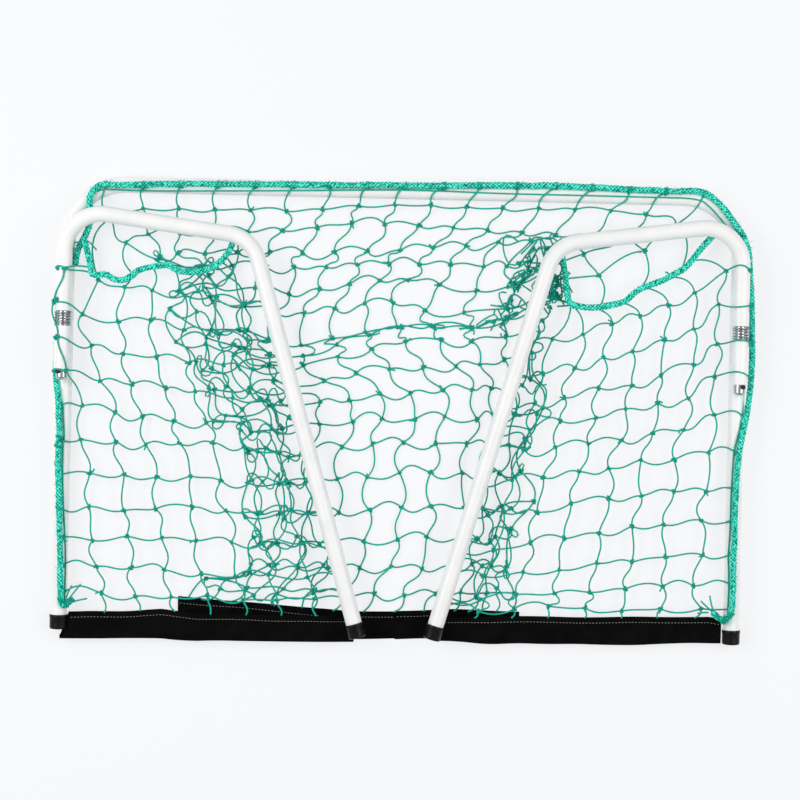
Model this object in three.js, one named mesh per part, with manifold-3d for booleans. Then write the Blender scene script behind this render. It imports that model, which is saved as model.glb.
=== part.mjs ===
// Folding floorball goal, folded flat: a bent tube front frame with its mouth to the floor, two wings
// folded over it on spring-loaded pivots, and the net, its ropes and its hem lying between them.
//
// Frame: X runs across the mouth, Y from the post feet to the crossbar, Z up from the floor that the
// folded goal lies on. Sizes are in millimetres. The sizes below are laid out from the middle of the
// mouth at the feet; the last lines move the whole goal so that its origin is at the middle of its
// underside.

import * as THREE from 'three';
import { mergeVertices } from 'three/addons/utils/BufferGeometryUtils.js';
import Module from 'manifold-3d';

const wasm = await Module();
wasm.setup();

// ---- Clearances ----
const fit = 0.3; // between two pieces that seat on or run in each other
const weldGap = 0.6; // between the post and the hinge sleeve, bridged by the weld

// ---- Front frame ----
const mouthWidth = 900; // clear, between the posts
const mouthHeight = 600; // clear, from the feet to the crossbar
const tubeOD = 22;
const tubeWall = 1.5;
const frameBend = 80; // to the middle of the tube
const tubeSides = 20;
const boreSides = 12;

// ---- End caps, pushed over the tube ends ----
const capOD = 25;
const capLength = 20;
const capFloor = 3; // thickness of the closed end
const capRim = 2.5; // rounding of the closed end's edge

// ---- Pivot on each post ----
const sleeveStart = 356; // height of the sleeve's lower edge above the feet
const sleeveLength = 59;
const sleeveOD = 22;
const spindleOD = 16;
const spindleTail = 11.5; // from the cross pin to the spindle's lower end
const spindleDome = 3;
const spindleShank = 38; // length held inside the wing tube
const pinD = 6;
const pinTilt = 20; // degrees, outward from straight up
const pinHigh = 13; // from the spindle's axis to the pin's shown end
const pinLow = 10.5; // and to its hidden end
const pinDome = 1.2;
const washerOD = 23;
const washerThick = 1;
const springOD = 23;
const springWire = 2.2;
const springTurns = 5;
const springLength = 18.4;

// ---- Wings ----
const wingBend = 50;
const shoulderDrop = 36; // from the crossbar's middle down to the wing's corner over the pivot
const elbowDrop = 34; // from that corner down to the corner at the leg's top
const elbowHalf = 206; // from the middle of the mouth to that corner
const footHalf = 50; // from the middle of the mouth to the leg's foot
const footHeight = 0;

// ---- Ropes and cords ----
const ropeD = 8.5;
const ropeTiltLow = 15; // degrees, from straight above the post to its outer side, below the pivot
const ropeTiltHigh = 48; // and beside the pivot and along the crossbar
const ropeStart = 26; // height of the rope's lower ends
const ropeShift = 40; // length over which it moves from one to the other
const ropeSides = 10;
const headCordD = 2.4;
const headCordSet = 1.6; // from over the crossbar's middle towards its outer side
const headCordInset = 5; // from the crossbar's bend to the cord's end
// Routes of the two seam ropes, which lie loose between a wing's corners: inward from the post's middle,
// and down from the wing's shoulder.
const leftSeamPoints = [
  [27, 9], [20, 26], [14.5, 44], [27, 67], [31, 83], [48, 87], [71, 94], [99, 78], [131, 71],
  [158, 80], [187, 79], [214, 64], [225, 44], [230, 29],
];
const rightSeamPoints = [
  [244, 30], [240, 50], [237, 75], [234, 107], [225, 116], [199, 117], [173, 116], [153, 108],
  [141, 90], [124, 83], [100, 74], [77, 64], [67, 43], [51, 26], [35, 17],
];
const seamSteps = 36;

// ---- Nets ----
const netThick = 2;
const netBar = 2.4;
const netLift = 0.4; // of the back net over the floor
const backTopInset = 3; // from the crossbar's bend to the net's upper corner
const backBottomLeft = -292;
const backBottomRight = 166;
const backColumns = 15;
const backRows = 8;
const sideOuterDrop = 75; // from the wing's shoulder down to the side net's upper corner by the post
const sideInnerDrop = 51; // and by the leg
const sideColumns = 8;
const sideRows = 9;

// ---- Hems ----
const hemWidth = 40;
const hemDrop = 8; // how far the hem hangs past the feet
const hemThick = 1.2;
const foldGap = 0.7; // between two layers of the folded rear hem
const foldLeft = -299;
const foldRight = 171;

// ---- Places that follow from the sizes ----
const tubeR = tubeOD / 2;
const postX = mouthWidth / 2 + tubeR;
const crossbarY = mouthHeight + tubeR;
const frameZ = capOD / 2; // the posts lie on their caps
const axisZ = frameZ + tubeR + weldGap + sleeveOD / 2;
const wingShoulder = crossbarY - shoulderDrop;
const wingElbow = wingShoulder - elbowDrop;
const sideTopOuter = wingShoulder - sideOuterDrop;
const sideTopInner = wingShoulder - sideInnerDrop;
const pinY = sleeveStart - fit - pinD / 2;
const washerY = sleeveStart + sleeveLength + fit;
const springY = washerY + washerThick + fit;
const wingEndY = springY + springLength + fit;
const hemY = -hemDrop;
const hemTopY = hemY + hemWidth;
const seamZ = axisZ - tubeR - fit - ropeD / 2;
const sideNetZ = seamZ - ropeD / 2 - fit - netThick / 2;
const seatX = postX - capOD / 2 - 1.5; // where the soft pieces start beside the post's cap
const degrees = Math.PI / 180;

// ---- Materials ----
const whitePowder = new THREE.MeshStandardMaterial({ color: 0xf1f3f4, roughness: 0.32, metalness: 0.0 });
const blackPlastic = new THREE.MeshStandardMaterial({ color: 0x17181a, roughness: 0.5, metalness: 0.0 });
const chrome = new THREE.MeshStandardMaterial({ color: 0xc9ccd0, roughness: 0.15, metalness: 1.0 });
const zinc = new THREE.MeshStandardMaterial({ color: 0xa9adb2, roughness: 0.35, metalness: 1.0 });
const darkSteel = new THREE.MeshStandardMaterial({ color: 0x2a2c2f, roughness: 0.4, metalness: 1.0 });
const greenRope = new THREE.MeshStandardMaterial({ color: 0x18a085, roughness: 0.85, metalness: 0.0 });
const greenCord = new THREE.MeshStandardMaterial({ color: 0x1ba78c, roughness: 0.8, metalness: 0.0 });
const blackFabric = new THREE.MeshStandardMaterial({ color: 0x1b1d20, roughness: 0.9, metalness: 0.0 });

// ---- Geometry helpers ----

/** A polyline through the corners of a plane path, each corner rounded by an arc of the given radius. */
function roundedPath(corners, radius, stepAngle) {
  const path = [new THREE.Vector2(...corners[0])];
  for (let i = 1; i < corners.length - 1; i++) {
    const at = new THREE.Vector2(...corners[i]);
    const back = new THREE.Vector2(...corners[i - 1]).sub(at).normalize();
    const ahead = new THREE.Vector2(...corners[i + 1]).sub(at).normalize();
    const turn = Math.PI - Math.acos(back.dot(ahead));
    const reach = radius * Math.tan(turn / 2);
    const middle = back.clone().add(ahead).normalize().multiplyScalar(radius / Math.cos(turn / 2)).add(at);
    const first = back.clone().multiplyScalar(reach).add(at).sub(middle);
    const side = Math.sign(ahead.cross(back));
    const steps = Math.ceil(turn / stepAngle);
    for (let k = 0; k <= steps; k++) {
      const spin = side * turn * (k / steps);
      path.push(first.clone().rotateAround(new THREE.Vector2(), spin).add(middle));
    }
  }
  path.push(new THREE.Vector2(...corners[corners.length - 1]));
  return path;
}

/** Radii and angles of a regular section with the given number of sides. */
function ring(radius, sides) {
  return Array.from({ length: sides }, (_, k) => {
    const a = (2 * Math.PI * (k + 0.5)) / sides;
    return [radius * Math.cos(a), radius * Math.sin(a)];
  });
}

/** A closed body swept along a plane path at height z, mitred at each point. A bore makes it a pipe. */
function sweep(path, z, section, bore) {
  const positions = [];
  const index = [];
  const stations = path.map((p, i) => {
    const a = path[Math.max(i - 1, 0)];
    const b = path[Math.min(i + 1, path.length - 1)];
    const before = i > 0 ? p.clone().sub(a).normalize() : b.clone().sub(p).normalize();
    const after = i < path.length - 1 ? b.clone().sub(p).normalize() : before.clone();
    const along = before.clone().add(after).normalize();
    return { p, across: new THREE.Vector2(along.y, -along.x), stretch: 1 / along.dot(after) };
  });
  const wall = (loop, flip) => {
    const start = positions.length / 3;
    const n = loop.length;
    for (const s of stations) {
      for (const [u, v] of loop) {
        positions.push(s.p.x + s.across.x * u * s.stretch, s.p.y + s.across.y * u * s.stretch, z + v);
      }
    }
    for (let i = 0; i < stations.length - 1; i++) {
      for (let k = 0; k < n; k++) {
        const a = start + i * n + k;
        const b = start + i * n + ((k + 1) % n);
        const quad = [a, b, b + n, a, b + n, a + n];
        index.push(...(flip ? quad.reverse() : quad));
      }
    }
    return start;
  };
  const last = (stations.length - 1) * section.length;
  const outer = wall(section, false);
  const shape = section.map(([u, v]) => new THREE.Vector2(u, v));
  const hole = bore ? bore.map(([u, v]) => new THREE.Vector2(u, v)) : [];
  const inner = bore ? wall(bore, true) : 0;
  const innerLast = bore ? (stations.length - 1) * bore.length : 0;
  const faces = THREE.ShapeUtils.triangulateShape(shape, bore ? [hole] : []);
  const n = section.length;
  for (const face of faces) {
    const first = face.map((k) => (k < n ? outer + k : inner + k - n));
    const end = face.map((k) => (k < n ? outer + last + k : inner + innerLast + k - n));
    index.push(first[0], first[2], first[1], end[0], end[1], end[2]);
  }
  const made = new THREE.BufferGeometry();
  made.setAttribute('position', new THREE.Float32BufferAttribute(positions, 3));
  made.setIndex(index);
  return outward(made);
}

/** The same closed body with its faces turned outward. */
function outward(geometry) {
  const p = geometry.attributes.position;
  const index = geometry.index.array;
  const [a, b, c] = [new THREE.Vector3(), new THREE.Vector3(), new THREE.Vector3()];
  let volume = 0;
  for (let i = 0; i < index.length; i += 3) {
    a.fromBufferAttribute(p, index[i]);
    b.fromBufferAttribute(p, index[i + 1]);
    c.fromBufferAttribute(p, index[i + 2]);
    volume += a.dot(b.cross(c));
  }
  if (volume < 0) {
    for (let i = 0; i < index.length; i += 3) [index[i + 1], index[i + 2]] = [index[i + 2], index[i + 1]];
  }
  geometry.computeVertexNormals();
  return geometry;
}

/** A turned body about the Y axis, from the closed profile of its half section. */
function turned(profile, sides) {
  const points = profile.map(([r, y]) => new THREE.Vector2(r, y));
  const geometry = new THREE.LatheGeometry(points, sides);
  geometry.deleteAttribute('normal');
  geometry.deleteAttribute('uv');
  return outward(mergeVertices(geometry, 1e-4));
}

function solid(geometry) {
  const bare = new THREE.BufferGeometry();
  bare.setAttribute('position', geometry.attributes.position.clone());
  if (geometry.index) bare.setIndex(geometry.index);
  const merged = mergeVertices(bare, 1e-4);
  const mesh = new wasm.Mesh({
    numProp: 3,
    vertProperties: new Float32Array(merged.attributes.position.array),
    triVerts: new Uint32Array(merged.index.array),
  });
  return new wasm.Manifold(mesh);
}

function geometryOf(manifold) {
  const mesh = manifold.getMesh();
  const made = new THREE.BufferGeometry();
  made.setAttribute('position', new THREE.Float32BufferAttribute(mesh.vertProperties, 3));
  made.setIndex(Array.from(mesh.triVerts));
  made.computeVertexNormals();
  return made;
}

const goal = new THREE.Group();

function add(name, geometry, material, place = [0, 0, 0], turnZ = 0) {
  const mesh = new THREE.Mesh(geometry, material);
  mesh.name = name;
  mesh.position.set(...place);
  mesh.rotation.z = turnZ;
  goal.add(mesh);
  return mesh;
}

// ---- Front frame: one tube bent to a U, open at both feet ----
const tubeEnd = capFloor + fit; // the tube stops just short of its cap's floor
const frameCorners = [[-postX, tubeEnd], [-postX, crossbarY], [postX, crossbarY], [postX, tubeEnd]];
const frameStep = 13 * degrees;
const wingStep = 8 * degrees;
const tubeSection = ring(tubeR, tubeSides);
const tubeBore = ring(tubeR - tubeWall, boreSides);
const framePath = roundedPath(frameCorners, frameBend, frameStep);
add('front_frame_tube', sweep(framePath, frameZ, tubeSection, tubeBore), whitePowder);

// ---- End caps: a cup with a rounded closed end, flat in its middle ----
const capR = capOD / 2;
const capBore = tubeR + fit;
const capProfile = [
  [0, 0],
  [capR - capRim, 0],
  [capR - capRim * 0.5, capRim * 0.134],
  [capR - capRim * 0.134, capRim * 0.5],
  [capR, capRim],
  [capR, capLength],
  [capBore, capLength],
  [capBore, capFloor],
  [0, capFloor],
];
const capShape = turned(capProfile, tubeSides);
for (const [name, side] of [['left', -1], ['right', 1]]) {
  add(`${name}_post_cap`, capShape, blackPlastic, [side * postX, 0, frameZ]);
}

// ---- Hinge sleeves: a short pipe welded along the post; the cross pin bears on its lower edge ----
const spindleR = spindleOD / 2;
function cylinderY(radius, from, to, sides) {
  return turned([[0, from], [radius, from], [radius, to], [0, to]], sides);
}
const sleeveBody = turned(
  [
    [spindleR + fit, sleeveStart],
    [sleeveOD / 2, sleeveStart],
    [sleeveOD / 2, sleeveStart + sleeveLength],
    [spindleR + fit, sleeveStart + sleeveLength],
    [spindleR + fit, sleeveStart],
  ],
  tubeSides,
);
const weldWidth = 9;
const weldStop = 8; // the weld stops this far inside each end of the sleeve
const weldBlock = new THREE.BoxGeometry(weldWidth, sleeveLength - 2 * weldStop, axisZ - frameZ - spindleR - 1.6);
weldBlock.translate(0, sleeveStart + sleeveLength / 2, -(axisZ - frameZ + spindleR + 1.6) / 2);
const postCut = cylinderY(tubeR + fit, sleeveStart - 1, sleeveStart + sleeveLength + 1, 40);
postCut.translate(0, 0, frameZ - axisZ);
const sleeveShape = geometryOf(solid(sleeveBody).add(solid(weldBlock)).subtract(solid(postCut)));

// ---- Spindles: turned bar, fixed in the wing tube's end, with a domed lower end and a cross hole ----
const shankR = tubeR - tubeWall - fit - 0.4;
const spindleEnd = pinY - spindleTail;
const spindleProfile = [
  [0, spindleEnd],
  [spindleR * 0.5, spindleEnd + spindleDome * 0.14],
  [spindleR * 0.85, spindleEnd + spindleDome * 0.5],
  [spindleR, spindleEnd + spindleDome],
  [spindleR, wingEndY + 1],
  [shankR, wingEndY + 1],
  [shankR, wingEndY + spindleShank],
  [0, wingEndY + spindleShank],
];
const spindleBody = turned(spindleProfile, tubeSides);
function spindleShape(side) {
  const hole = cylinderAcross(pinD / 2 + fit, -sleeveOD, sleeveOD, side);
  return geometryOf(solid(spindleBody).subtract(solid(hole)));
}

/** A round bar through the spindle's axis at the pin's height, tilted outward as the pin is. */
function cylinderAcross(radius, from, to, side, dome = 0) {
  const bar = turned(
    [[0, from], [radius, from], [radius, to - dome], [radius * 0.7, to - dome * 0.3], [0, to]],
    12,
  );
  bar.rotateX(Math.PI / 2);
  bar.rotateY(side * pinTilt * degrees);
  bar.translate(0, pinY, 0);
  return bar;
}

// ---- Washer under the spring ----
const washerR = washerOD / 2;
const washerShape = turned(
  [
    [spindleR + fit, washerY],
    [washerR, washerY],
    [washerR, washerY + washerThick],
    [spindleR + fit, washerY + washerThick],
    [spindleR + fit, washerY],
  ],
  tubeSides,
);

// ---- Pivot springs: one unbroken wire, its ends straight for one wire diameter ----
const springR = (springOD - springWire) / 2;
const curlSteps = 8;
const wireSides = 5;
const springPoints = [];
for (let k = 0; k <= springTurns * curlSteps; k++) {
  const share = k / (springTurns * curlSteps);
  const a = 2 * Math.PI * springTurns * share;
  const rise = springWire / 2 + (springLength - springWire) * share;
  springPoints.push(new THREE.Vector3(springR * Math.cos(a), springY + rise, springR * Math.sin(a)));
}
const lastPoint = springPoints[springPoints.length - 1];
springPoints.unshift(springPoints[0].clone().add(new THREE.Vector3(0, 0, -springWire)));
springPoints.push(lastPoint.clone().add(new THREE.Vector3(0, 0, springWire)));

/** A closed tube through points in space that wind about the Y axis. */
function woundWire(points, radius, sides) {
  const positions = [];
  const index = [];
  points.forEach((p, i) => {
    const a = points[Math.max(i - 1, 0)];
    const b = points[Math.min(i + 1, points.length - 1)];
    const along = b.clone().sub(a).normalize();
    const out = new THREE.Vector3(p.x, 0, p.z).normalize();
    out.addScaledVector(along, -out.dot(along)).normalize();
    const up = along.clone().cross(out);
    for (let k = 0; k < sides; k++) {
      const t = (2 * Math.PI * k) / sides;
      const q = p.clone().addScaledVector(out, radius * Math.cos(t)).addScaledVector(up, radius * Math.sin(t));
      positions.push(q.x, q.y, q.z);
    }
  });
  for (let i = 0; i < points.length - 1; i++) {
    for (let k = 0; k < sides; k++) {
      const a = i * sides + k;
      const b = i * sides + ((k + 1) % sides);
      index.push(a, b, b + sides, a, b + sides, a + sides);
    }
  }
  const last = (points.length - 1) * sides;
  for (let k = 1; k < sides - 1; k++) index.push(0, k + 1, k, last, last + k, last + k + 1);
  const made = new THREE.BufferGeometry();
  made.setAttribute('position', new THREE.Float32BufferAttribute(positions, 3));
  made.setIndex(index);
  return outward(made);
}
const springShape = woundWire(springPoints, springWire / 2, wireSides);

// The least gap between the wire and itself, measured on points along it, more than a turn's third apart.
let leastGap = Infinity;
for (let i = 0; i < springPoints.length; i++) {
  for (let j = i + Math.ceil(curlSteps / 3) + 1; j < springPoints.length; j++) {
    leastGap = Math.min(leastGap, springPoints[i].distanceTo(springPoints[j]) - springWire);
  }
}
console.log(`spring: least gap between its turns ${leastGap.toFixed(2)} mm`);

// ---- Wings, mirrored: pivot section, top bar and rear leg in one bent tube ----
const legLength = Math.hypot(elbowHalf - footHalf, wingElbow - footHeight);
const legOut = [(elbowHalf - footHalf) / legLength, (wingElbow - footHeight) / legLength];
const legLean = Math.atan2(legOut[0], legOut[1]);
const legEnd = [footHalf + legOut[0] * tubeEnd, footHeight + legOut[1] * tubeEnd];
const wingCorners = [[postX, wingEndY], [postX, wingShoulder], [elbowHalf, wingElbow], legEnd];

/** A flat lattice of bars in a four-cornered outline, given from its lower left corner anticlockwise. */
function lattice(corners, columns, rows) {
  const [a, b, c, d] = corners.map(([x, y]) => new THREE.Vector2(x, y));
  const at = (u, v) => a.clone().lerp(b, u).lerp(d.clone().lerp(c, u), v);
  // Lines run along both edges of each bar; line 0 and the last one are the outline.
  const line = (k, count, length) => {
    const bar = netBar / length;
    const middle = Math.floor(k / 2) / count;
    if (k < 2) return k * bar;
    if (k >= 2 * count) return 1 - (2 * count + 1 - k) * bar;
    return middle + (k % 2 ? bar / 2 : -bar / 2);
  };
  const positions = [];
  const [across, up] = [2 * columns + 2, 2 * rows + 2];
  for (const z of [0, netThick]) {
    for (let j = 0; j < up; j++) {
      for (let i = 0; i < across; i++) {
        const v = line(j, rows, at(0.5, 0).distanceTo(at(0.5, 1)));
        const u = line(i, columns, at(0, v).distanceTo(at(1, v)));
        const p = at(u, v);
        positions.push(p.x, p.y, z);
      }
    }
  }
  const filled = (i, j) => i >= 0 && j >= 0 && i < across - 1 && j < up - 1 && !(i % 2 && j % 2);
  const low = (i, j) => j * across + i;
  const lift = across * up;
  const index = [];
  const wall = (p, q) => index.push(p, q, q + lift, p, q + lift, p + lift);
  for (let j = 0; j < up - 1; j++) {
    for (let i = 0; i < across - 1; i++) {
      if (!filled(i, j)) continue;
      const [p, q, r, s] = [low(i, j), low(i + 1, j), low(i + 1, j + 1), low(i, j + 1)];
      index.push(p, r, q, p, s, r, p + lift, q + lift, r + lift, p + lift, r + lift, s + lift);
      if (!filled(i, j - 1)) wall(p, q);
      if (!filled(i + 1, j)) wall(q, r);
      if (!filled(i, j + 1)) wall(r, s);
      if (!filled(i - 1, j)) wall(s, p);
    }
  }
  const made = new THREE.BufferGeometry();
  made.setAttribute('position', new THREE.Float32BufferAttribute(positions, 3));
  made.setIndex(index);
  return outward(made);
}

/** A round cord's closed body along points in space, its section carried from each point to the next. */
function cordBody(points, radius, sides) {
  const positions = [];
  const index = [];
  const out = new THREE.Vector3(0, 0, 1);
  points.forEach((p, i) => {
    const along = points[Math.min(i + 1, points.length - 1)].clone().sub(points[Math.max(i - 1, 0)]);
    along.normalize();
    out.addScaledVector(along, -out.dot(along)).normalize();
    const up = along.clone().cross(out);
    for (let k = 0; k < sides; k++) {
      const t = (2 * Math.PI * k) / sides;
      const q = p.clone().addScaledVector(out, radius * Math.cos(t)).addScaledVector(up, radius * Math.sin(t));
      positions.push(q.x, q.y, q.z);
    }
  });
  for (let i = 0; i < points.length - 1; i++) {
    for (let k = 0; k < sides; k++) {
      const a = i * sides + k;
      const b = i * sides + ((k + 1) % sides);
      index.push(a, b, b + sides, a, b + sides, a + sides);
    }
  }
  const last = (points.length - 1) * sides;
  for (let k = 1; k < sides - 1; k++) index.push(0, k + 1, k, last, last + k, last + k + 1);
  const made = new THREE.BufferGeometry();
  made.setAttribute('position', new THREE.Float32BufferAttribute(positions, 3));
  made.setIndex(index);
  return outward(made);
}

/** A seam rope along a smooth curve through its route. */
function seam(route, side) {
  const points = route.map(([inward, down]) => [side * (postX - inward), wingShoulder - down]);
  const curve = new THREE.CatmullRomCurve3(points.map(([x, y]) => new THREE.Vector3(x, y, 0)));
  return cordBody(curve.getSpacedPoints(seamSteps), ropeD / 2, 8);
}

for (const [name, side] of [['left', -1], ['right', 1]]) {
  const axis = [side * postX, 0, axisZ];
  add(`${name}_hinge_sleeve`, sleeveShape, whitePowder, axis);
  add(`${name}_spring_washer`, washerShape, zinc, axis);
  add(`${name}_spring`, springShape, zinc, axis);
  add(`${name}_spindle`, spindleShape(side), chrome, axis);
  add(`${name}_cross_pin`, cylinderAcross(pinD / 2, -pinLow, pinHigh, side, pinDome), darkSteel, axis);

  const mirrored = wingCorners.map(([x, y]) => [side * x, y]);
  const wingPath = roundedPath(mirrored, wingBend, wingStep);
  add(`${name}_wing_tube`, sweep(wingPath, axisZ, tubeSection, tubeBore), whitePowder);
  add(`${name}_leg_cap`, capShape, blackPlastic, [side * footHalf, footHeight, axisZ], -side * legLean);

  const route = side < 0 ? leftSeamPoints : rightSeamPoints;
  add(`${name}_seam_rope`, seam(route, side), greenRope, [0, 0, seamZ]);

  // Side net: from the hem to the seam rope, between the post and the leg.
  const bottom = hemTopY + fit;
  const innerAt = (y) => side * (footHalf + (y * (elbowHalf - footHalf)) / (wingElbow - footHeight));
  const outer = side * seatX;
  const corners = side < 0
    ? [[outer, bottom], [innerAt(bottom), bottom], [innerAt(sideTopInner), sideTopInner], [outer, sideTopOuter]]
    : [[innerAt(bottom), bottom], [outer, bottom], [outer, sideTopOuter], [innerAt(sideTopInner), sideTopInner]];
  const low = [0, 0, sideNetZ - netThick / 2];
  add(`${name}_side_net`, lattice(corners, sideColumns, sideRows), greenCord, low);

  // Side hem: a flat strip from beside the post's cap to under the leg's foot.
  const inner = side * (footHalf + 6);
  const strip = new THREE.BoxGeometry(Math.abs(outer - inner), hemWidth, hemThick);
  add(`${name}_side_hem`, strip, blackFabric, [(outer + inner) / 2, hemY + hemWidth / 2, sideNetZ]);
}

// ---- Border rope: on top of the posts, then on their outer side past the pivots and over the crossbar ----
const ropeReach = tubeR + ropeD / 2 + fit;
const lean = (tilt) => [ropeReach * Math.sin(tilt * degrees), frameZ + ropeReach * Math.cos(tilt * degrees)];
const [lowOut, lowZ] = lean(ropeTiltLow);
const [ropeOut, ropeZ] = lean(ropeTiltHigh);
const ropeX = postX + ropeOut;
const ropeY = crossbarY + ropeOut;
const shiftEnd = pinY - spindleTail - ropeD;
const ropeFeet = (side) => [
  new THREE.Vector3(side * (postX + lowOut), ropeStart, lowZ),
  new THREE.Vector3(side * (postX + lowOut), shiftEnd - ropeShift, lowZ),
  new THREE.Vector3(side * (postX + (lowOut * 2 + ropeOut) / 3), shiftEnd - ropeShift * 0.7, (lowZ * 2 + ropeZ) / 3 + 0.8),
  new THREE.Vector3(side * (postX + (lowOut + ropeOut * 2) / 3), shiftEnd - ropeShift * 0.3, (lowZ + ropeZ * 2) / 3 + 0.8),
  new THREE.Vector3(side * ropeX, shiftEnd, ropeZ),
];
const overTop = roundedPath([[-ropeX, shiftEnd], [-ropeX, ropeY], [ropeX, ropeY], [ropeX, shiftEnd]],
  frameBend + ropeOut, frameStep).slice(1, -1);
const ropePath = [
  ...ropeFeet(-1),
  ...overTop.map((p) => new THREE.Vector3(p.x, p.y, ropeZ)),
  ...ropeFeet(1).reverse(),
];
add('border_rope', cordBody(ropePath, ropeD / 2, ropeSides), greenRope);

// ---- Head cord: the net's top cord, along the crossbar just inside the rope ----
const headZ = frameZ + tubeR + headCordD / 2 + fit;
const headCordHalf = postX - frameBend - headCordInset;
const headPath = [new THREE.Vector2(-headCordHalf, crossbarY + headCordSet),
  new THREE.Vector2(headCordHalf, crossbarY + headCordSet)];
add('head_cord', sweep(headPath, headZ, ring(headCordD / 2, 8)), greenCord);

// ---- Back net: on the floor, from under the crossbar to the rear hem ----
const underRise = frameZ - netLift - netThick;
const backTopY = crossbarY - Math.sqrt((tubeR + fit) ** 2 - underRise ** 2);
const backTopHalf = postX - frameBend - backTopInset;
const backCorners = [[backBottomLeft, hemTopY + fit], [backBottomRight, hemTopY + fit],
  [backTopHalf, backTopY], [-backTopHalf, backTopY]];
add('back_net', lattice(backCorners, backColumns, backRows), greenCord, [0, 0, netLift]);

// ---- Rear hem: one strip folded over at both ends, its ends under the two leg feet ----
const layer = hemThick + foldGap;
const endLeft = -(footHalf + 6);
const endRight = footHalf + 6;
const hemOutline = new THREE.Shape([
  new THREE.Vector2(foldLeft + hemThick, 0),
  new THREE.Vector2(foldRight - hemThick, 0),
  new THREE.Vector2(foldRight, hemThick),
  new THREE.Vector2(foldRight, layer),
  new THREE.Vector2(foldRight - hemThick, layer + hemThick),
  new THREE.Vector2(endRight, layer + hemThick),
  new THREE.Vector2(endRight, layer),
  new THREE.Vector2(foldRight - hemThick, layer),
  new THREE.Vector2(foldRight - hemThick, hemThick),
  new THREE.Vector2(foldLeft + hemThick, hemThick),
  new THREE.Vector2(foldLeft + hemThick, layer),
  new THREE.Vector2(endLeft, layer),
  new THREE.Vector2(endLeft, layer + hemThick),
  new THREE.Vector2(foldLeft + hemThick, layer + hemThick),
  new THREE.Vector2(foldLeft, layer),
  new THREE.Vector2(foldLeft, hemThick),
]);
const rearHem = new THREE.ExtrudeGeometry(hemOutline, { depth: hemWidth, bevelEnabled: false });
rearHem.rotateX(Math.PI / 2);
rearHem.deleteAttribute('normal');
rearHem.deleteAttribute('uv');
add('rear_hem', outward(mergeVertices(rearHem, 1e-4)), blackFabric, [0, hemTopY, netLift]);

// ---- Origin at the middle of the underside ----
const lowY = Math.min(hemY, 0);
const highY = ropeY + ropeD / 2;
goal.position.y = -(lowY + highY) / 2;
goal.updateMatrixWorld(true);

export default goal;
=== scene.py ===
"""A small folding floorball goal, folded flat: a coated steel frame, two sprung wings and a knotted net."""

import bmesh
import bpy
import math
import numpy as np
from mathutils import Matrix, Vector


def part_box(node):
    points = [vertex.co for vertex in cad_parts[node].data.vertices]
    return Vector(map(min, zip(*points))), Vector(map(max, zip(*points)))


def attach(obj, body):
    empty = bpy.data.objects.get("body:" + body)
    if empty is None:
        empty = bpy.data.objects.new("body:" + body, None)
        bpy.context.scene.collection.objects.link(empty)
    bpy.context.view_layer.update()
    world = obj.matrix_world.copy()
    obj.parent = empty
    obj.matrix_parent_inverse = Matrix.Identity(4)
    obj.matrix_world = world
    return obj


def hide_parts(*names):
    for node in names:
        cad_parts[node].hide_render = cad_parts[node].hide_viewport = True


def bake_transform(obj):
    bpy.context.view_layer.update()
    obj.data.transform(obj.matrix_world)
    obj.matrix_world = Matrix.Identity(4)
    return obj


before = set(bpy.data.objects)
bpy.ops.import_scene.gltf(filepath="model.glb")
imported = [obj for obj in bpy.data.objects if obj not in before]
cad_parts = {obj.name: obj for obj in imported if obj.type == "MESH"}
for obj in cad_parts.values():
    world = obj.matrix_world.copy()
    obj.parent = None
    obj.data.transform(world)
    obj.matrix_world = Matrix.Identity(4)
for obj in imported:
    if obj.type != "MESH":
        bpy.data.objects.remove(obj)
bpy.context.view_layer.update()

# ---- Studio ----
# A white floor, a dim even sky and a large soft lamp on either side. The camera looks straight down on the
# folded goal, as at a product laid on a table.
scene = bpy.context.scene
scene.view_settings.view_transform = "Standard"
MM = 0.001
SIDES = (("left", -1), ("right", 1))
UP = [0, 0, 1.0]
FEET = float(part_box("left_post_cap")[0][1])  # where the post's feet stand, along Y
POST_X = 461.0  # mm, from the middle of the mouth to the middle of a post
POST_Z = 12.5  # middle of the front frame's tube over the floor
AXIS_Z = 35.1  # middle of the wings' tubes over the floor
BAR_Y = 611  # middle of the crossbar over the feet
rng = np.random.default_rng(20)


def linear(code):
    """An sRGB hex colour as linear RGBA: each channel's low part is divided by 12.92, the rest is a 2.4
    power."""
    parts = np.array([int(code[i:i + 2], 16) for i in (1, 3, 5)]) / 255
    low, high = parts / 12.92, ((parts + 0.055) / 1.055) ** 2.4
    return (*np.where(parts <= 0.04045, low, high).tolist(), 1.0)


def add(tree, kind, links=(), **settings):
    """Adds a node. Settings name its properties or inputs, and links are (input, the output that feeds
    it)."""
    made = tree.nodes.new("ShaderNode" + kind)
    for name, value in settings.items():
        if hasattr(made, name):
            setattr(made, name, value)
        else:
            made.inputs[name.replace("_", " ")].default_value = value
    for name, output in links:
        tree.links.new(output, made.inputs[name])
    return made


def new_material(name):
    """An empty node material, and its node tree."""
    made = bpy.data.materials.new(name)
    made.use_nodes = True
    made.node_tree.nodes.clear()
    return made, made.node_tree


def surface(tree, shader):
    """Joins a finished shader to the material's output."""
    tree.links.new(shader.outputs[0], add(tree, "OutputMaterial").inputs["Surface"])


def math_of(tree, operation, *values):
    """A math node on outputs and plain numbers."""
    made = add(tree, "Math", operation=operation)
    for socket, value in zip(made.inputs, values):
        if isinstance(value, float):
            socket.default_value = value
        else:
            tree.links.new(value, socket)
    return made.outputs[0]


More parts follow.
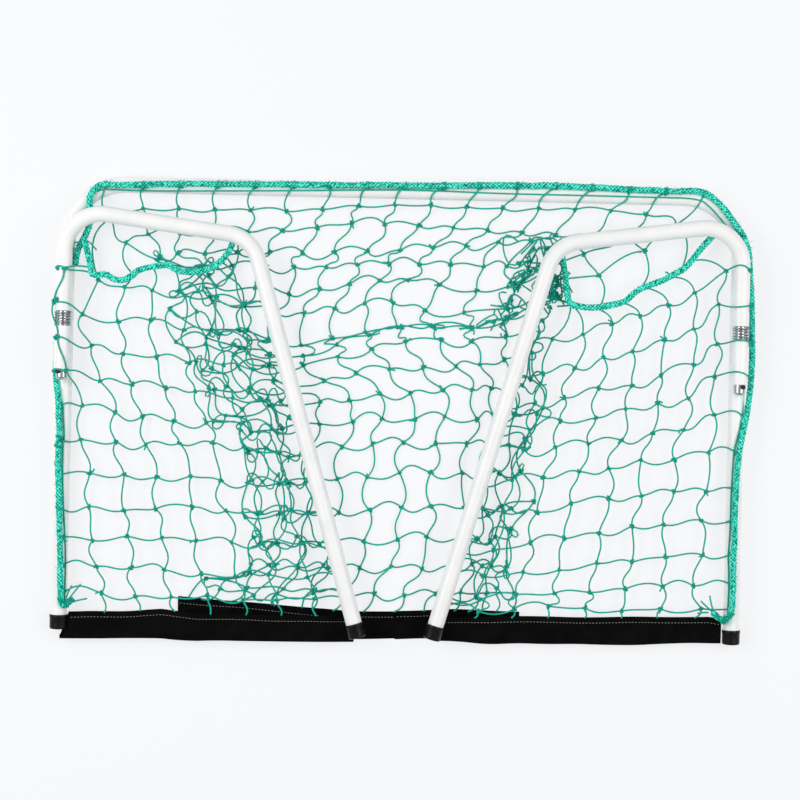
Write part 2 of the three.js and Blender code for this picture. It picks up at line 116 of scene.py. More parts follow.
def noise(tree, scale, detail=2.0, roughness=0.5):
    """Noise through the object's own space, its features about 1 / scale metres across."""
    made = add(tree, "TexNoise", [("Vector", add(tree, "TexCoord").outputs["Object"])],
               Scale=scale, Detail=detail, Roughness=roughness)
    return made.outputs["Fac"]


def bands(tree, direction, scale, **settings):
    """Waves along or across the piece's UV."""
    made = add(tree, "TexWave", [("Vector", add(tree, "UVMap", uv_map="UVMap").outputs["UV"])],
               wave_type="BANDS", bands_direction=direction, Scale=scale, **settings)
    return made.outputs["Fac"]


def ramp(tree, value, first, last, *between):
    """Colour by value, through (position, hex colour) stops."""
    made = add(tree, "ValToRGB", [("Fac", value)])
    stops = made.color_ramp.elements
    for stop, (position, code) in zip(stops, (first, last)):
        stop.position, stop.color = position, linear(code)
    for position, code in between:
        stops.new(position).color = linear(code)
    return "Base Color", made.outputs["Color"]


def rough(tree, value, low, high):
    """Roughness from low to high by value."""
    return "Roughness", add(tree, "MapRange", [("Value", value)], To_Min=low, To_Max=high).outputs["Result"]


def bumps(tree, value, strength, depth):
    """Bumps of a depth in metres."""
    made = add(tree, "Bump", [("Height", value)], Strength=strength, Distance=depth)
    return "Normal", made.outputs["Normal"]


def put(name, points, faces, material, body=None, stands_for=None, uv=None, smooth=True,
        merged=False):
    """Makes a mesh object from points in metres and faces, gives it its finish and lets it ride on a body.
    A merged one gets its doubled points joined and its faces turned outwards."""
    mesh = bpy.data.meshes.new(name)
    mesh.from_pydata(np.asarray(points, float).tolist(), [], faces)
    if merged:
        work = bmesh.new()
        work.from_mesh(mesh)
        bmesh.ops.remove_doubles(work, verts=work.verts, dist=2e-6)
        bmesh.ops.recalc_face_normals(work, faces=work.faces)
        work.to_mesh(mesh)
        work.free()
    mesh.polygons.foreach_set("use_smooth", np.full(len(mesh.polygons), smooth))
    if uv is not None:
        corner = np.zeros(len(mesh.loops), np.int32)
        mesh.loops.foreach_get("vertex_index", corner)
        mesh.uv_layers.new(name="UVMap").data.foreach_set("uv", uv[corner].astype(np.float32).ravel())
    mesh.materials.append(material)
    made = bpy.data.objects.new(name, mesh)
    scene.collection.objects.link(made)
    if body:
        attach(made, body)
    if stands_for:
        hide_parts(stands_for)
    return made


floor_white, tree = new_material("studio_floor")
paper = add(tree, "BsdfDiffuse", Color=linear("#F7F8FA"))
glow = add(tree, "Emission", Color=linear("#F9FAFC"))
ray = add(tree, "LightPath").outputs
seen = math_of(tree, "MAXIMUM", ray["Is Camera Ray"], ray["Is Glossy Ray"])
seen = math_of(tree, "MAXIMUM", seen, ray["Is Transmission Ray"])
share = math_of(tree, "MULTIPLY", seen, 0.76)  # the rest keeps the goal's shadow
surface(tree, add(tree, "MixShader", [(0, share), (1, paper.outputs[0]), (2, glow.outputs[0])]))
floor = put("studio_floor", [[-4, -4, 0], [4, -4, 0], [4, 4, 0], [-4, 4, 0]], [(0, 1, 2, 3)], floor_white,
            smooth=False)

sky = bpy.data.worlds.new("studio")
sky.use_nodes = True
background = sky.node_tree.nodes["Background"].inputs
background["Color"].default_value = (1, 1, 1, 1)
background["Strength"].default_value = 0.45
scene.world = sky

LAMP_Z = 1.7
for name, x, y, power in (("left_soft_box", -1.5, 0.35, 26), ("right_soft_box", 1.6, 0.1, 20)):
    lamp = bpy.data.lights.new(name, "AREA")
    lamp.shape, lamp.size, lamp.size_y, lamp.energy = "RECTANGLE", 1.1, 1.9, power
    soft_box = bpy.data.objects.new(name, lamp)
    soft_box.location = (x, y, LAMP_Z)
    soft_box.rotation_euler = (math.atan2(-y, LAMP_Z), math.atan2(x, LAMP_Z), 0)  # aimed at the goal's middle
    scene.collection.objects.link(soft_box)

lens = bpy.data.cameras.new("camera")
lens.lens, lens.sensor_width = 88.4, 36.0
camera = bpy.data.objects.new("camera", lens)
camera.location = (0, 0.0152, 2.706)
camera.rotation_euler = (0, 0, math.radians(1.35))
scene.collection.objects.link(camera)
scene.camera = camera

# ---- Front frame ----
# Steel tube, 22 by 1.5 mm, bent to a wide U and lying on the floor. Its finish is white polyester powder
# coat, sprayed and baked: a soft gloss with a faint orange peel.
powder_coat, tree = new_material("white_powder_coat")
patches = noise(tree, 25.0, 3.0)  # 40 mm handling marks
peel = noise(tree, 700.0)  # 1.5 mm
surface(tree, add(tree, "BsdfPrincipled", [
    ramp(tree, patches, (0.3, "#F2F2F2"), (0.6, "#F8F8F7")), rough(tree, patches, 0.3, 0.42),
    bumps(tree, peel, 0.12, 0.0001)], IOR=1.5))
TUBE_R, WALL, TUBE_SIDES = 11.0, 1.5, 40
FRAME_BEND, WING_BEND = 80, 50  # radii, to the middle of the tube
BEND_STEP = 5.0  # degrees between an arc's points
TUBE_END = 3.5  # where the tube stops in its cap


def unit(vectors):
    """Vectors scaled to length one."""
    return vectors / np.maximum(np.linalg.norm(vectors, axis=-1, keepdims=True), 1e-9)


def in_place(points):
    """Points in mm, counted from the feet, as points in metres in the goal's frame."""
    return np.asarray(points, float) * MM + [0, FEET, 0]


def bent_path(corners, radius):
    """Points along straight runs joined by arcs of one radius in plan."""
    corners = np.array(corners, float)
    path = [corners[0]]
    for before, at, after in zip(corners, corners[1:], corners[2:]):
        back, on = unit(before - at), unit(after - at)
        half = math.acos(np.clip(back @ on, -1, 1)) / 2
        middle = at + unit(back + on) * radius / math.sin(half)
        reach = radius / math.tan(half)
        start, end = at + back * reach - middle, at + on * reach - middle
        turn = math.pi - 2 * half
        t = np.linspace(0, 1, max(2, round(math.degrees(turn) / BEND_STEP)) + 1)[:, None]
        path += list(middle + (np.sin((1 - t) * turn) * start + np.sin(t * turn) * end) / math.sin(turn))
    path.append(corners[-1])
    # A point close to either end keeps the shading of the wall free of the end's.
    near = [path[0] + unit(path[1] - path[0]) * 0.4, path[-1] + unit(path[-2] - path[-1]) * 0.4]
    return np.array([path[0], near[0], *path[1:-1], near[1], path[-1]])


def circle(radius, sides):
    """A circle's points, the cosine across and the sine up."""
    t = np.arange(sides) * 2 * np.pi / sides
    return np.c_[np.cos(t), np.sin(t)] * radius


def ring_faces(rings, sides, stacks=1, ends=True):
    """The faces of stacks of rings of points: four-sided ones between neighbouring rings, and one over each
    end."""
    k = np.arange(sides)
    start = np.arange(stacks * rings).reshape(stacks, rings, 1) * sides
    a, b = start[:, :-1] + k, start[:, :-1] + (k + 1) % sides
    faces = np.stack([a, a + sides, b + sides, b], -1).reshape(-1, 4).tolist()
    if ends:
        faces += (start[:, 0] + k).tolist() + (start[:, -1] + k)[:, ::-1].tolist()
    return faces


def carried(path, section, ends=True, across=None):
    """A section carried along a path in space: each ring is the section's across and up parts added to the
    path's point, along the level direction square to the path, or a given one, and along the one square to
    both."""
    along = unit(np.gradient(path, axis=0))
    across = unit(np.cross(along, UP)) if across is None else across
    up = np.cross(across, along)
    section = np.broadcast_to(section, (len(path), *np.shape(section)[-2:]))
    rings = path[:, None] + section[..., :1] * across[:, None] + section[..., 1:] * up[:, None]
    return rings.reshape(-1, 3), ring_faces(len(path), rings.shape[1], ends=ends)


def put_tube(name, corners, radius, height, body, stands_for):
    """A bent tube: its outside and its bore carried along the path, and a ring of faces at each end."""
    path = bent_path(corners, radius)
    path = np.c_[path, np.full(len(path), height)]
    outside, faces = carried(path, circle(TUBE_R, TUBE_SIDES), ends=False)
    inside, _ = carried(path, circle(TUBE_R - WALL, TUBE_SIDES), ends=False)
    shift, last = len(outside), len(outside) - TUBE_SIDES
    k = np.arange(TUBE_SIDES)
    j = (k + 1) % TUBE_SIDES
    faces += (np.array(faces)[:, ::-1] + shift).tolist()
    faces += np.stack([k, j, j + shift, k + shift], -1).tolist()
    faces += np.stack([last + j, last + k, last + k + shift, last + j + shift], -1).tolist()
    put(name, in_place(np.vstack([outside, inside])), faces, powder_coat, body, stands_for)


put_tube("front_frame_tubing", [(-POST_X, TUBE_END), (-POST_X, BAR_Y), (POST_X, BAR_Y), (POST_X, TUBE_END)],
         FRAME_BEND, POST_Z, "front_frame", "front_frame_tube")

# ---- Post caps ----
# Black polyethylene cups, injection moulded and pushed over the tube ends: a low sheen, with scuffs where
# they have stood on the floor.
black_plastic, tree = new_material("black_moulded_polyethylene")
scuffs = noise(tree, 180.0, 4.0, 0.7)
surface(tree, add(tree, "BsdfPrincipled", [
    ramp(tree, scuffs, (0.45, "#070708"), (0.75, "#121213")), rough(tree, scuffs, 0.22, 0.5),
    bumps(tree, scuffs, 0.2, 0.0001)], IOR=1.5, Specular_IOR_Level=0.2))


def put_turned(name, profile, foot, direction, material, body, stands_for, sides=40):
    """A profile of (radius, height) turned about a line from foot along direction: radius times a circle
    square to the line, plus height along it. The first and last points lie on the line or meet."""
    direction = unit(np.array(direction, float))
    side = unit(np.cross(direction, UP))
    turn = circle(1, sides)
    ring = turn[:, :1] * side + turn[:, 1:] * np.cross(direction, side)
    profile = np.array(profile, float)
    points = np.array(foot) + profile[:, :1, None] * ring + profile[:, 1:, None] * direction
    faces = ring_faces(len(profile), sides, ends=False)
    put(name, in_place(points.reshape(-1, 3)), faces, material, body, stands_for, merged=True)


# Closed end with a rounded edge, a body that widens to a collar, and the bore that holds the tube.
CAP_PROFILE = [
    (0, 0), (8.6, 0), (10.2, 0.25), (11.3, 0.9), (11.9, 1.9), (12.05, 3.2), (12.1, 15.6), (12.35, 16.2),
    (12.5, 16.6), (12.5, 19.4), (12.3, 20), (11.4, 20), (11.3, 19.7), (11.3, 3), (0, 3)]
Y_AXIS = (0, 1, 0)
for name, side in SIDES:
    put_turned(f"{name}_post_foot", CAP_PROFILE, (side * POST_X, 0, POST_Z), Y_AXIS, black_plastic,
               "front_frame", f"{name}_post_cap")

# ---- Hinge sleeves ----
# A short pipe on top of each post, the wing's bearing. It is welded along both sides before the frame is
# coated, so the weld's ripples show through the powder.
SLEEVE_LOW, SLEEVE_HIGH, SLEEVE_BORE = 356.0, 415.0, 8.3
SLEEVE_PROFILE = [(SLEEVE_BORE, 0.5), (SLEEVE_BORE + 0.5, 0), (10.4, 0), (10.9, 0.3), (11, 0.8), (11, 58.2),
                  (10.9, 58.7), (10.4, 59), (SLEEVE_BORE + 0.5, 59), (SLEEVE_BORE, 58.5), (SLEEVE_BORE, 0.5)]
WELD_POINTS, WELD_R, WELD_OFF = 120, 2.3, 4.6
for name, side in SIDES:
    put_turned(f"{name}_hinge_pipe", SLEEVE_PROFILE, (side * POST_X, SLEEVE_LOW, AXIS_Z), Y_AXIS, powder_coat,
               "front_frame", f"{name}_hinge_sleeve", 48)
    # Weld beads: a small round section whose radius swells at each ripple, 3 mm apart.
    y = np.linspace(SLEEVE_LOW + 5, SLEEVE_HIGH - 5, WELD_POINTS)
    ends_in = np.minimum(1, np.minimum(y - y[0], y[-1] - y) / 2 + 0.2)
    swell = WELD_R * (1 + 0.1 * np.sin(2 * np.pi * y / 3)) * ends_in
    for edge in (-1, 1):
        middle = np.c_[np.full(WELD_POINTS, side * POST_X + edge * WELD_OFF), y,
                       np.full(WELD_POINTS, (POST_Z + AXIS_Z) / 2)]
        points, faces = carried(middle, circle(1, 12)[None] * swell[:, None, None])
        put(f"{name}_weld_{'inner' if edge * side < 0 else 'outer'}", in_place(points), faces, powder_coat,
            "front_frame")

# ---- Spring washers and springs ----
# A zinc-plated washer lies on each sleeve, and a compression spring of 2.2 mm wire stands on it and holds
# the wing up. Zinc on drawn wire is a bright grey with a slight lengthwise grain.
zinc, tree = new_material("zinc_plated_spring_steel")
grain = noise(tree, 900.0, 3.0)  # about 1 mm
surface(tree, add(tree, "BsdfPrincipled", [
    ramp(tree, grain, (0.0, "#83878C"), (1.0, "#C4C8CC")), rough(tree, grain, 0.2, 0.42)], Metallic=1.0))
WASHER_Y, SPRING_Y, SPRING_LENGTH, SPRING_TURNS, WIRE_R = 415.3, 416.6, 18.4, 5, 1.1
COIL_R = 11.5 - WIRE_R
WASHER_PROFILE = [
    (8.4, 0.15), (8.6, 0), (11.3, 0), (11.5, 0.2), (11.5, 0.8), (11.3, 1), (8.6, 1), (8.4, 0.85),
    (8.4, 0.15)]
for name, side in SIDES:
    put_turned(f"{name}_zinc_washer", WASHER_PROFILE, (side * POST_X, WASHER_Y, AXIS_Z), Y_AXIS, zinc,
               f"{name}_spring_seat", f"{name}_spring_washer", 48)
    # A helix that rises more steeply in the middle than at its ends, where the turns close up.
    t = np.linspace(0, 1, SPRING_TURNS * 44 + 1)
    height = WIRE_R + (SPRING_LENGTH - 2 * WIRE_R) * (0.55 * t + 0.45 * (3 * t ** 2 - 2 * t ** 3))
    turn = 2 * np.pi * SPRING_TURNS * t
    outwards = np.c_[np.cos(turn), np.zeros(len(t)), np.sin(turn)]
    coil = [side * POST_X, SPRING_Y, AXIS_Z] + outwards * COIL_R + height[:, None] * Y_AXIS
    points, faces = carried(coil, circle(WIRE_R, 12), across=outwards)
    spring = put(f"{name}_coil_spring", in_place(points), faces, zinc, stands_for=f"{name}_spring",
                 merged=True)
    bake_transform(spring)

# ---- Wings ----
# One bent tube a side: a pivot section over the post, the top bar, and the rear leg down to the foot. It is
# the frame's tube and coating, and swings inwards to lie on the folded net.
WING_END_Y, SHOULDER_Y, ELBOW_X, ELBOW_Y, FOOT_X = 435.3, 575.0, 206.0, 541.0, 50.0
LEAN = unit(np.array([ELBOW_X - FOOT_X, ELBOW_Y]))  # the leg's direction, from its foot
for name, side in SIDES:
    corners = [(POST_X, WING_END_Y), (POST_X, SHOULDER_Y), (ELBOW_X, ELBOW_Y), [FOOT_X, 0] + LEAN * TUBE_END]
    put_tube(f"{name}_wing_tubing", [(side * x, y) for x, y in corners], WING_BEND, AXIS_Z, f"{name}_wing",
             f"{name}_wing_tube")
    put_turned(f"{name}_leg_foot", CAP_PROFILE, (side * FOOT_X, 0, AXIS_Z), (side * LEAN[0], LEAN[1], 0),
               black_plastic, f"{name}_wing", f"{name}_leg_cap")

# ---- Spindles and cross pins ----
# The wing turns on a 16 mm bar of turned steel, pressed into its tube and bright chromium plated. Below the
# sleeve a blackened steel pin through the bar stops the spring from pushing the wing off.
chrome, tree = new_material("chromium_plated_turned_steel")
lines = add(tree, "Mapping", [("Vector", add(tree, "TexCoord").outputs["Object"])], Scale=(60, 1500, 60))
marks = add(tree, "TexNoise", [("Vector", lines.outputs["Vector"])], Scale=1.0, Detail=2.0)  # 0.7 mm apart
surface(tree, add(tree, "BsdfPrincipled", [
    rough(tree, marks.outputs["Fac"], 0.06, 0.2), bumps(tree, marks.outputs["Fac"], 0.15, 0.0001)],
    Base_Color=linear("#C6C9CD"), Metallic=1.0))
dark_steel, tree = new_material("blackened_steel")
surface(tree, add(tree, "BsdfPrincipled", [
    ramp(tree, noise(tree, 600.0, 3.0), (0.0, "#16171A"), (1.0, "#3A3B3F"))], Metallic=0.7, Roughness=0.42))
PIN_Y = 352.7
TAIL_Y = PIN_Y - 11.5
PIN_TILT, PIN_LOW = math.radians(20), 10.5  # outwards from straight up, and its hidden end's distance
SPINDLE_PROFILE = [
    (0, 0), (3.4, 0.25), (5.6, 1.1), (7.1, 2.3), (7.8, 3.4), (8, 4.4), (8, 74.0), (8, 131.0),
    (7.4, 131.8), (0, 131.8)]
PIN_PROFILE = [
    (0, 0), (1.9, 0.3), (2.7, 0.9), (3, 1.6), (3, 21.9), (2.7, 22.7), (1.9, 23.2), (0, 23.5)]
for name, side in SIDES:
    put_turned(f"{name}_turned_spindle", SPINDLE_PROFILE, (side * POST_X, TAIL_Y, AXIS_Z), Y_AXIS, chrome,
               f"{name}_wing", f"{name}_spindle", 48)
    tilt = np.array([side * math.sin(PIN_TILT), 0, math.cos(PIN_TILT)])
    foot = np.array([side * POST_X, PIN_Y, AXIS_Z]) - tilt * PIN_LOW
    put_turned(f"{name}_black_pin", PIN_PROFILE, foot, tilt, dark_steel, f"{name}_wing",
               f"{name}_cross_pin", 24)

# ---- Border rope ----
# A hollow braid of green polypropylene, 8.5 mm across, that edges the net. It is lashed along the crossbar
# and the posts. Its colour paints shade in the gaps between the strands and a highlight on their crowns.
rope_green, tree = new_material("braided_polypropylene_rope")
fuzz = noise(tree, 520.0, 4.0, 0.7)  # 2 mm
crown = add(tree, "Attribute", attribute_name="crown").outputs["Fac"]  # how far a point stands out
# Painted shade and painted highlight: the ramp darkens a point by how far it sinks between the strands and
# lightens it by how far it stands out.
surface(tree, add(tree, "BsdfPrincipled", [
    ramp(tree, math_of(tree, "MULTIPLY_ADD", fuzz, 0.5, crown), (0.36, "#004A40"), (1.0, "#6CFFE9"),
         (0.54, "#009984"), (0.74, "#0CCBB0")),
    bumps(tree, fuzz, 0.5, 0.0006)], Roughness=0.6, IOR=1.49, Specular_IOR_Level=0.2))
ROPE_R, ROPE_STEP, ROPE_SIDES = 4.5, 1.1, 24
LAY = 24  # mm of rope in which a strand winds once round


def lengths(lines):
    """How far along its line each point is."""
    steps = np.linalg.norm(np.diff(lines, axis=-2), axis=-1)
    return np.concatenate([np.zeros_like(steps[..., :1]), np.cumsum(steps, -1)], -1)


def resample(lines, stations):
    """Each line of points divided again into equal steps."""
    even = np.linspace(0, 1, stations)
    runs = map(lengths, lines)
    return np.array([np.stack([np.interp(even, run / run[-1], part) for part in line.T], 1)
                     for line, run in zip(lines, runs)])


def rounded(lines, times=2):
    """Each line with its corners cut, a quarter from each end of every step, which makes curves of
    chains."""
    for _ in range(times):
        a, b = lines[:, :-1], lines[:, 1:]
        cut = np.stack([a * 0.75 + b * 0.25, a * 0.25 + b * 0.75], 2)
        lines = np.concatenate([lines[:, :1], cut.reshape(len(lines), -1, lines.shape[-1]), lines[:, -1:]], 1)
    return lines


def eased(route, step):
    """A smooth curve by a route's stops, in equal steps."""
    line = rounded(np.array(route, float)[None], 4)
    return resample(line, int(round(lengths(line)[0, -1] / step)) + 1)[0]


def braid_rope(name, route, seed, body, stands_for=None, pinched=False):
    """A braided rope along a route in mm. Two sets of five strands wind opposite ways, once round in 24 mm.
    A strand's height is the squared cosine of the angle to its middle, more where the product of both sets'
    waves lets it pass over, and the rope's radius grows with the higher strand. A pinched one narrows under
    the hinge."""
    path = eased(route, ROPE_STEP)
    wander = np.random.default_rng(seed)
    run = lengths(path)
    places = np.arange(0, run[-1] + 30, 15)
    drift = np.stack([np.interp(run, places, wander.normal(size=len(places))) for _ in range(3)], 1)
    path[:, :2] += drift[:, :2] * 0.35
    t = np.arange(ROPE_SIDES) * 2 * np.pi / ROPE_SIDES
    s = run[:, None] * 2 * np.pi / LAY + 0.12 * drift[:, 2:]
    fray = wander.normal(size=(len(path), ROPE_SIDES))
    fray = (fray + np.roll(fray, 1, 0) + np.roll(fray, 1, 1) + np.roll(fray, (1, 1), (0, 1))) / 2
    left, right = np.cos(2.5 * (t - s)), np.cos(2.5 * (t + s))
    over = 0.5 + 0.5 * left * right
    height = np.maximum(left ** 2 * (0.25 + 0.75 * over), right ** 2 * (1 - 0.75 * over))
    height = np.clip(0.15 + 0.7 * height + fray * 0.17, 0, 1)
    grow = ROPE_R * (1 + 0.05 * drift[:, 2:]) * (0.74 + 0.34 * height)
    grow *= np.minimum(1, (np.minimum(run, run[-1] - run) + 1.2) / 4)[:, None]  # tapers at both ends
    section = circle(1, ROPE_SIDES) * grow[..., None]
    if pinched:
        section[..., 0] *= 1 - 0.42 * np.clip((path[:, 1:2] - 336) / 14, 0, 1)
    points, faces = carried(path, section)
    made = put(name, in_place(points), faces, rope_green, body, stands_for)
    # The strand height, kept on the points for the rope's painted shade and painted highlight.
    crown = made.data.attributes.new("crown", "FLOAT", "POINT")
    crown.data.foreach_set("value", height.ravel().astype(np.float32))


# The long piece runs from the right foot up the post, past the hinge and along the crossbar to the left
# corner, where it turns in under the wing. The short piece comes down the left post from behind the hinge.
# A foot's end is turned back and knotted.
LONG_ROPE = np.array([
    (432, 46, 21), (440, 38, 24), (449, 33, 27), (457, 39, 28), (459.6, 53, 27.7), (460.6, 76, 27.7),
    (460.5, 100, 27.7), (459.3, 121, 27.7), (460, 145, 27.7), (460.2, 199, 27.7), (463.5, 267, 27.4),
    (470, 295, 25.6), (474, 322, 23.6), (478.5, 350, 21), (479.7, 377, 20), (479.3, 431, 20),
    (476, 486, 22), (473, 513, 23.2), (471.6, 538, 24.2), (465, 557, 26.2), (452, 575, 27.9),
    (434.5, 597, 27.5), (418, 613, 25.3), (401, 620, 24.6), (374, 618.3, 26.2), (320, 619, 25.7),
    (265, 620.8, 24.6), (197, 622, 23.8), (129, 620.7, 24.7), (50, 618, 26.2), (-15, 617, 26.7),
    (-80, 615.5, 27.3), (-145, 615, 27.4), (-215, 614, 27.6), (-281, 613, 27.8), (-340, 610.5, 27.9),
    (-385, 608.5, 28), (-400, 609, 28), (-412, 610, 27.6), (-421, 606, 27.6), (-427, 598, 28),
    (-430, 589, 27), (-429.5, 581, 23), (-429, 574, 19.8), (-428.5, 566, 19.3), (-429, 557, 19.3),
    (-432, 547, 19.4), (-438, 535, 19.4), (-444, 523, 19.5), (-447, 511, 19.5), (-448, 497, 19.3)])
SHORT_ROPE = np.array([
    (-441, 42, 19), (-447, 36, 23), (-453, 34, 26.5), (-456.5, 40, 28), (-456.7, 48, 27.8),
    (-457.4, 78, 27.6), (-458.5, 112, 27.7), (-461.6, 177, 27.9), (-464, 218, 27.6), (-464.7, 251, 27.4),
    (-463, 264, 27.8), (-465, 300, 27.5), (-466, 320, 27), (-469.5, 337, 24.4), (-473, 350, 21.3),
    (-473, 368, 21.5), (-471.2, 400, 23.8), (-471.2, 513, 23.8)])
BAR_ROPE = LONG_ROPE[LONG_ROPE[:, 1] > 600][::-1]  # its part along the crossbar


def beside_post(side, low, high, reach):
    """The rope's stops along a post, by their height over the feet and distance from the middle of the
    mouth."""
    x, y, _ = (SHORT_ROPE if side < 0 else LONG_ROPE).T
    chosen = np.flatnonzero((y > low) & (y < high) & (np.abs(x) > reach))
    chosen = chosen[np.argsort(y[chosen])]
    return y[chosen], np.abs(x[chosen])


braid_rope("border_braid", LONG_ROPE, 3, "front_frame", "border_rope")
braid_rope("left_post_braid", SHORT_ROPE, 4, "front_frame", pinched=True)

# ---- Net twine ----
# Twisted green polyethylene, 2.3 mm, tied by machine into 50 mm cells. The dye is the rope's, with painted
# shade where the twist closes up.
twine_green, tree = new_material("twisted_polyethylene_twine")
twist = bands(tree, "DIAGONAL", 1.0, Distortion=0.6, Detail=1.0)
patch = noise(tree, 140.0)  # 7 mm, dye and wear
# The twist's bands paint shade in the grooves between the strands; the 7 mm patches are the dye's and wear's own
# tone.
surface(tree, add(tree, "BsdfPrincipled", [
    ramp(tree, math_of(tree, "MULTIPLY_ADD", twist, patch, 0.1), (0.1, "#079381"), (0.65, "#1CD0B6")),
    bumps(tree, twist, 0.6, 0.0003)], Roughness=0.55, IOR=1.5, Specular_IOR_Level=0.2))
TWINE_R = 1.15
CELL = 50.0
STEPS = 6  # straight steps worked out in one bar of a cell
ROUNDS = 420
UNREST = 0.3  # how far from straight and square the net starts
SIDE_GRID, BACK_GRID = (9, 13), (19, 20)  # columns and rows of knots


def cord_lengths(target, pinned, ends, hold, seed):
    """Each bar's cord: a cell's 50 mm where the knots are near that far apart, less where they are nearer,
    since most of the slack then lies out of sight in the next bars, and a bar to a rope or hem is almost
    taut."""
    wander = np.random.default_rng(seed)
    gap = np.abs(target[ends[:, 1]] - target[ends[:, 0]])
    folds = (hold[ends] < 0.03).all(1)
    slack = gap * np.where(folds, 1.15, 1.06) + gap * 0.1 * wander.random(len(gap))
    least = np.where(folds, 38, 31) + 5 * wander.random(len(gap))
    loose = np.maximum(np.clip(slack, least, CELL), gap * 1.01)
    tied = np.maximum(gap * (1.04 + 0.1 * wander.random(len(gap))), 4)
    reach = np.where(pinned[ends].any(1), tied, loose)
    return np.where((hold[ends] > 0.3).all(1), np.maximum(gap * 1.03, 4), reach)


def relax(target, pinned, ends, arms, face, hold, seed):
    """Lets part of the net come to rest in plan, with complex numbers as points. Each bar between two knots
    is a chain of equal steps. In each round its bends even out, its arms turn towards square with the
    others of their knot, its steps go back to their length, and each knot is drawn to its target by its
    hold."""
    reach = cord_lengths(target, pinned, ends, hold, seed)
    wander = np.random.default_rng(seed + 10)
    a, b = ends.T
    step = (reach / STEPS)[:, None]
    start = wander.normal(size=len(target)) + 1j * wander.normal(size=len(target))
    knots = target + start * UNREST * 10 * ~pinned
    t = np.arange(STEPS + 1) / STEPS
    run = knots[b] - knots[a]
    spare = np.sqrt(np.maximum(reach ** 2 - np.abs(run) ** 2, 9))
    sway = wander.normal(size=(2, len(ends), 1))
    bulge = np.sin(np.pi * t) * 0.5 * sway[0] + np.sin(2 * np.pi * t) * 0.35 * sway[1]
    level_run = (run / np.maximum(np.abs(run), 1))[:, None]
    line = knots[a][:, None] + run[:, None] * t + 1j * level_run * spare[:, None] * 0.6 * bulge
    count = np.maximum(np.bincount(ends.ravel(), minlength=len(target)), 1)
    leaves = np.where(arms[:, None] == 0, np.c_[face[a], -face[b]], [[-1j, 1j]])  # which way each arm points
    leaves *= np.exp(1j * UNREST * wander.normal(size=leaves.shape))
    for _ in range(ROUNDS):
        bend = (line[:, :-2] + line[:, 2:]) / 2 - line[:, 1:-1]
        wide = np.pad(bend, ((0, 0), (1, 1)))
        line[:, 1:-1] += 0.25 * (bend - (wide[:, :-2] + wide[:, 2:]) / 2)
        arm = np.c_[line[:, 1], line[:, -2]] - knots[ends]
        turn = np.zeros(len(target), complex)
        np.add.at(turn, ends.ravel(), (np.conj(leaves) * arm).ravel())
        turn /= np.maximum(np.abs(turn), 1e-9)
        miss = np.where(np.abs(leaves) > 0.5, turn[ends] * leaves * step - arm, 0)
        line[:, 1] += 0.35 * miss[:, 0]
        line[:, -2] += 0.35 * miss[:, 1]
        for _ in range(2):
            line[:, 0], line[:, -1] = knots[a], knots[b]
            side = line[:, 1:] - line[:, :-1]
            size = np.abs(side) + 1e-9
            push = 0.45 * (size - step) / size * side
            line[:, :-1] += push
            line[:, 1:] -= push
            move = np.zeros(len(target), complex)
            np.add.at(move, a, line[:, 0] - knots[a])
            np.add.at(move, b, line[:, -1] - knots[b])
            knots = knots + np.where(pinned, 0, move / count * 1.6)
        knots = knots + np.where(pinned, 0, hold * (target - knots))
    line[:, 0], line[:, -1] = knots[a], knots[b]
    return knots, line


def grid(columns, rows):
    """A grid of knots: those of its outline, which are pinned, and its bars, first along the rows and then
    down the columns. The outline has no bars, because a rope, a cord or the next part of the net is
    there."""
    pinned = np.ones((columns, rows), bool)
    pinned[1:-1, 1:-1] = False
    number = np.arange(columns * rows).reshape(columns, rows)
    along = np.stack([number[:-1, 1:-1], number[1:, 1:-1]], -1).reshape(-1, 2)
    down = np.stack([number[1:-1, :-1], number[1:-1, 1:]], -1).reshape(-1, 2)
    return pinned, np.vstack([along, down]), np.repeat([0, 1], [len(along), len(down)])


def spaced(route, shares):
    """Points on a route in plan at the given shares of its length, as complex numbers."""
    run = np.r_[0, np.cumsum(np.abs(np.diff(route)))]
    return np.interp(shares, run / run[-1], route)


def leg_x(y):
    """How far the wing's leg is from the middle of the mouth at a height over the feet."""
    return FOOT_X + LEAN[0] / LEAN[1] * np.clip(y, 0, 520)


# Routes of the two seam ropes in plan, in mm, from the post side for the left and from the leg side for the
# right.
LEFT_SEAM = np.array([
    (-437, 537), (-434, 527), (-430, 511), (-426.5, 498), (-427, 487), (-417, 485.5), (-406, 488.5),
    (-395, 480.5), (-381, 479), (-370.5, 486.5), (-360, 495), (-346, 499), (-332.5, 500.5), (-321.5, 503),
    (-310.5, 495), (-294, 492), (-278, 493), (-261.5, 500), (-248, 508.5), (-241.5, 518), (-233.5, 531),
    (-231, 545)])
RIGHT_SEAM = np.array([
    (217, 545), (218.5, 521), (221.5, 507), (224, 488), (225, 469), (231, 460.5), (244.5, 458.5),
    (264, 457), (280, 459.5), (296, 464), (307, 467), (315, 477), (326, 485), (339, 491), (355.5, 497),
    (369, 504), (381, 511), (390.5, 519.5), (400, 533), (409, 544.5), (419, 555), (424, 561)])
SEAM_Z = 19.55
SEAMS = {-1: LEFT_SEAM @ [1, 1j], 1: RIGHT_SEAM[::-1] @ [1, 1j]}  # both from the post, as complex numbers
# The hems' edges over the feet: along X, the lower and the upper edge. The strips hang a little unevenly.
SIDE_HEM = {
    -1: [(-456, -12, 24), (-400, -12, 25), (-320, -10, 31), (-300, -11, 29), (-270, -12, 26), (-56, -10, 28)],
    1: [(56, -6, 29), (150, -6, 31), (230, -5, 33), (330, -3, 35), (430, 0, 38), (456, 1, 34)]}
REAR_HEM = [
    (-299, 8, 48), (-170, 0, 40), (-62, -7, 32), (0, -4, 34), (60, -3, 37), (171, -3, 38)]


def hem_edge(x, hem, which):
    """The height of a hem's lower (1) or upper (2) edge at x."""
    hem = np.array(hem, float)
    return np.interp(x, hem[:, 0], hem[:, which])


HEM_TIE = 30.5
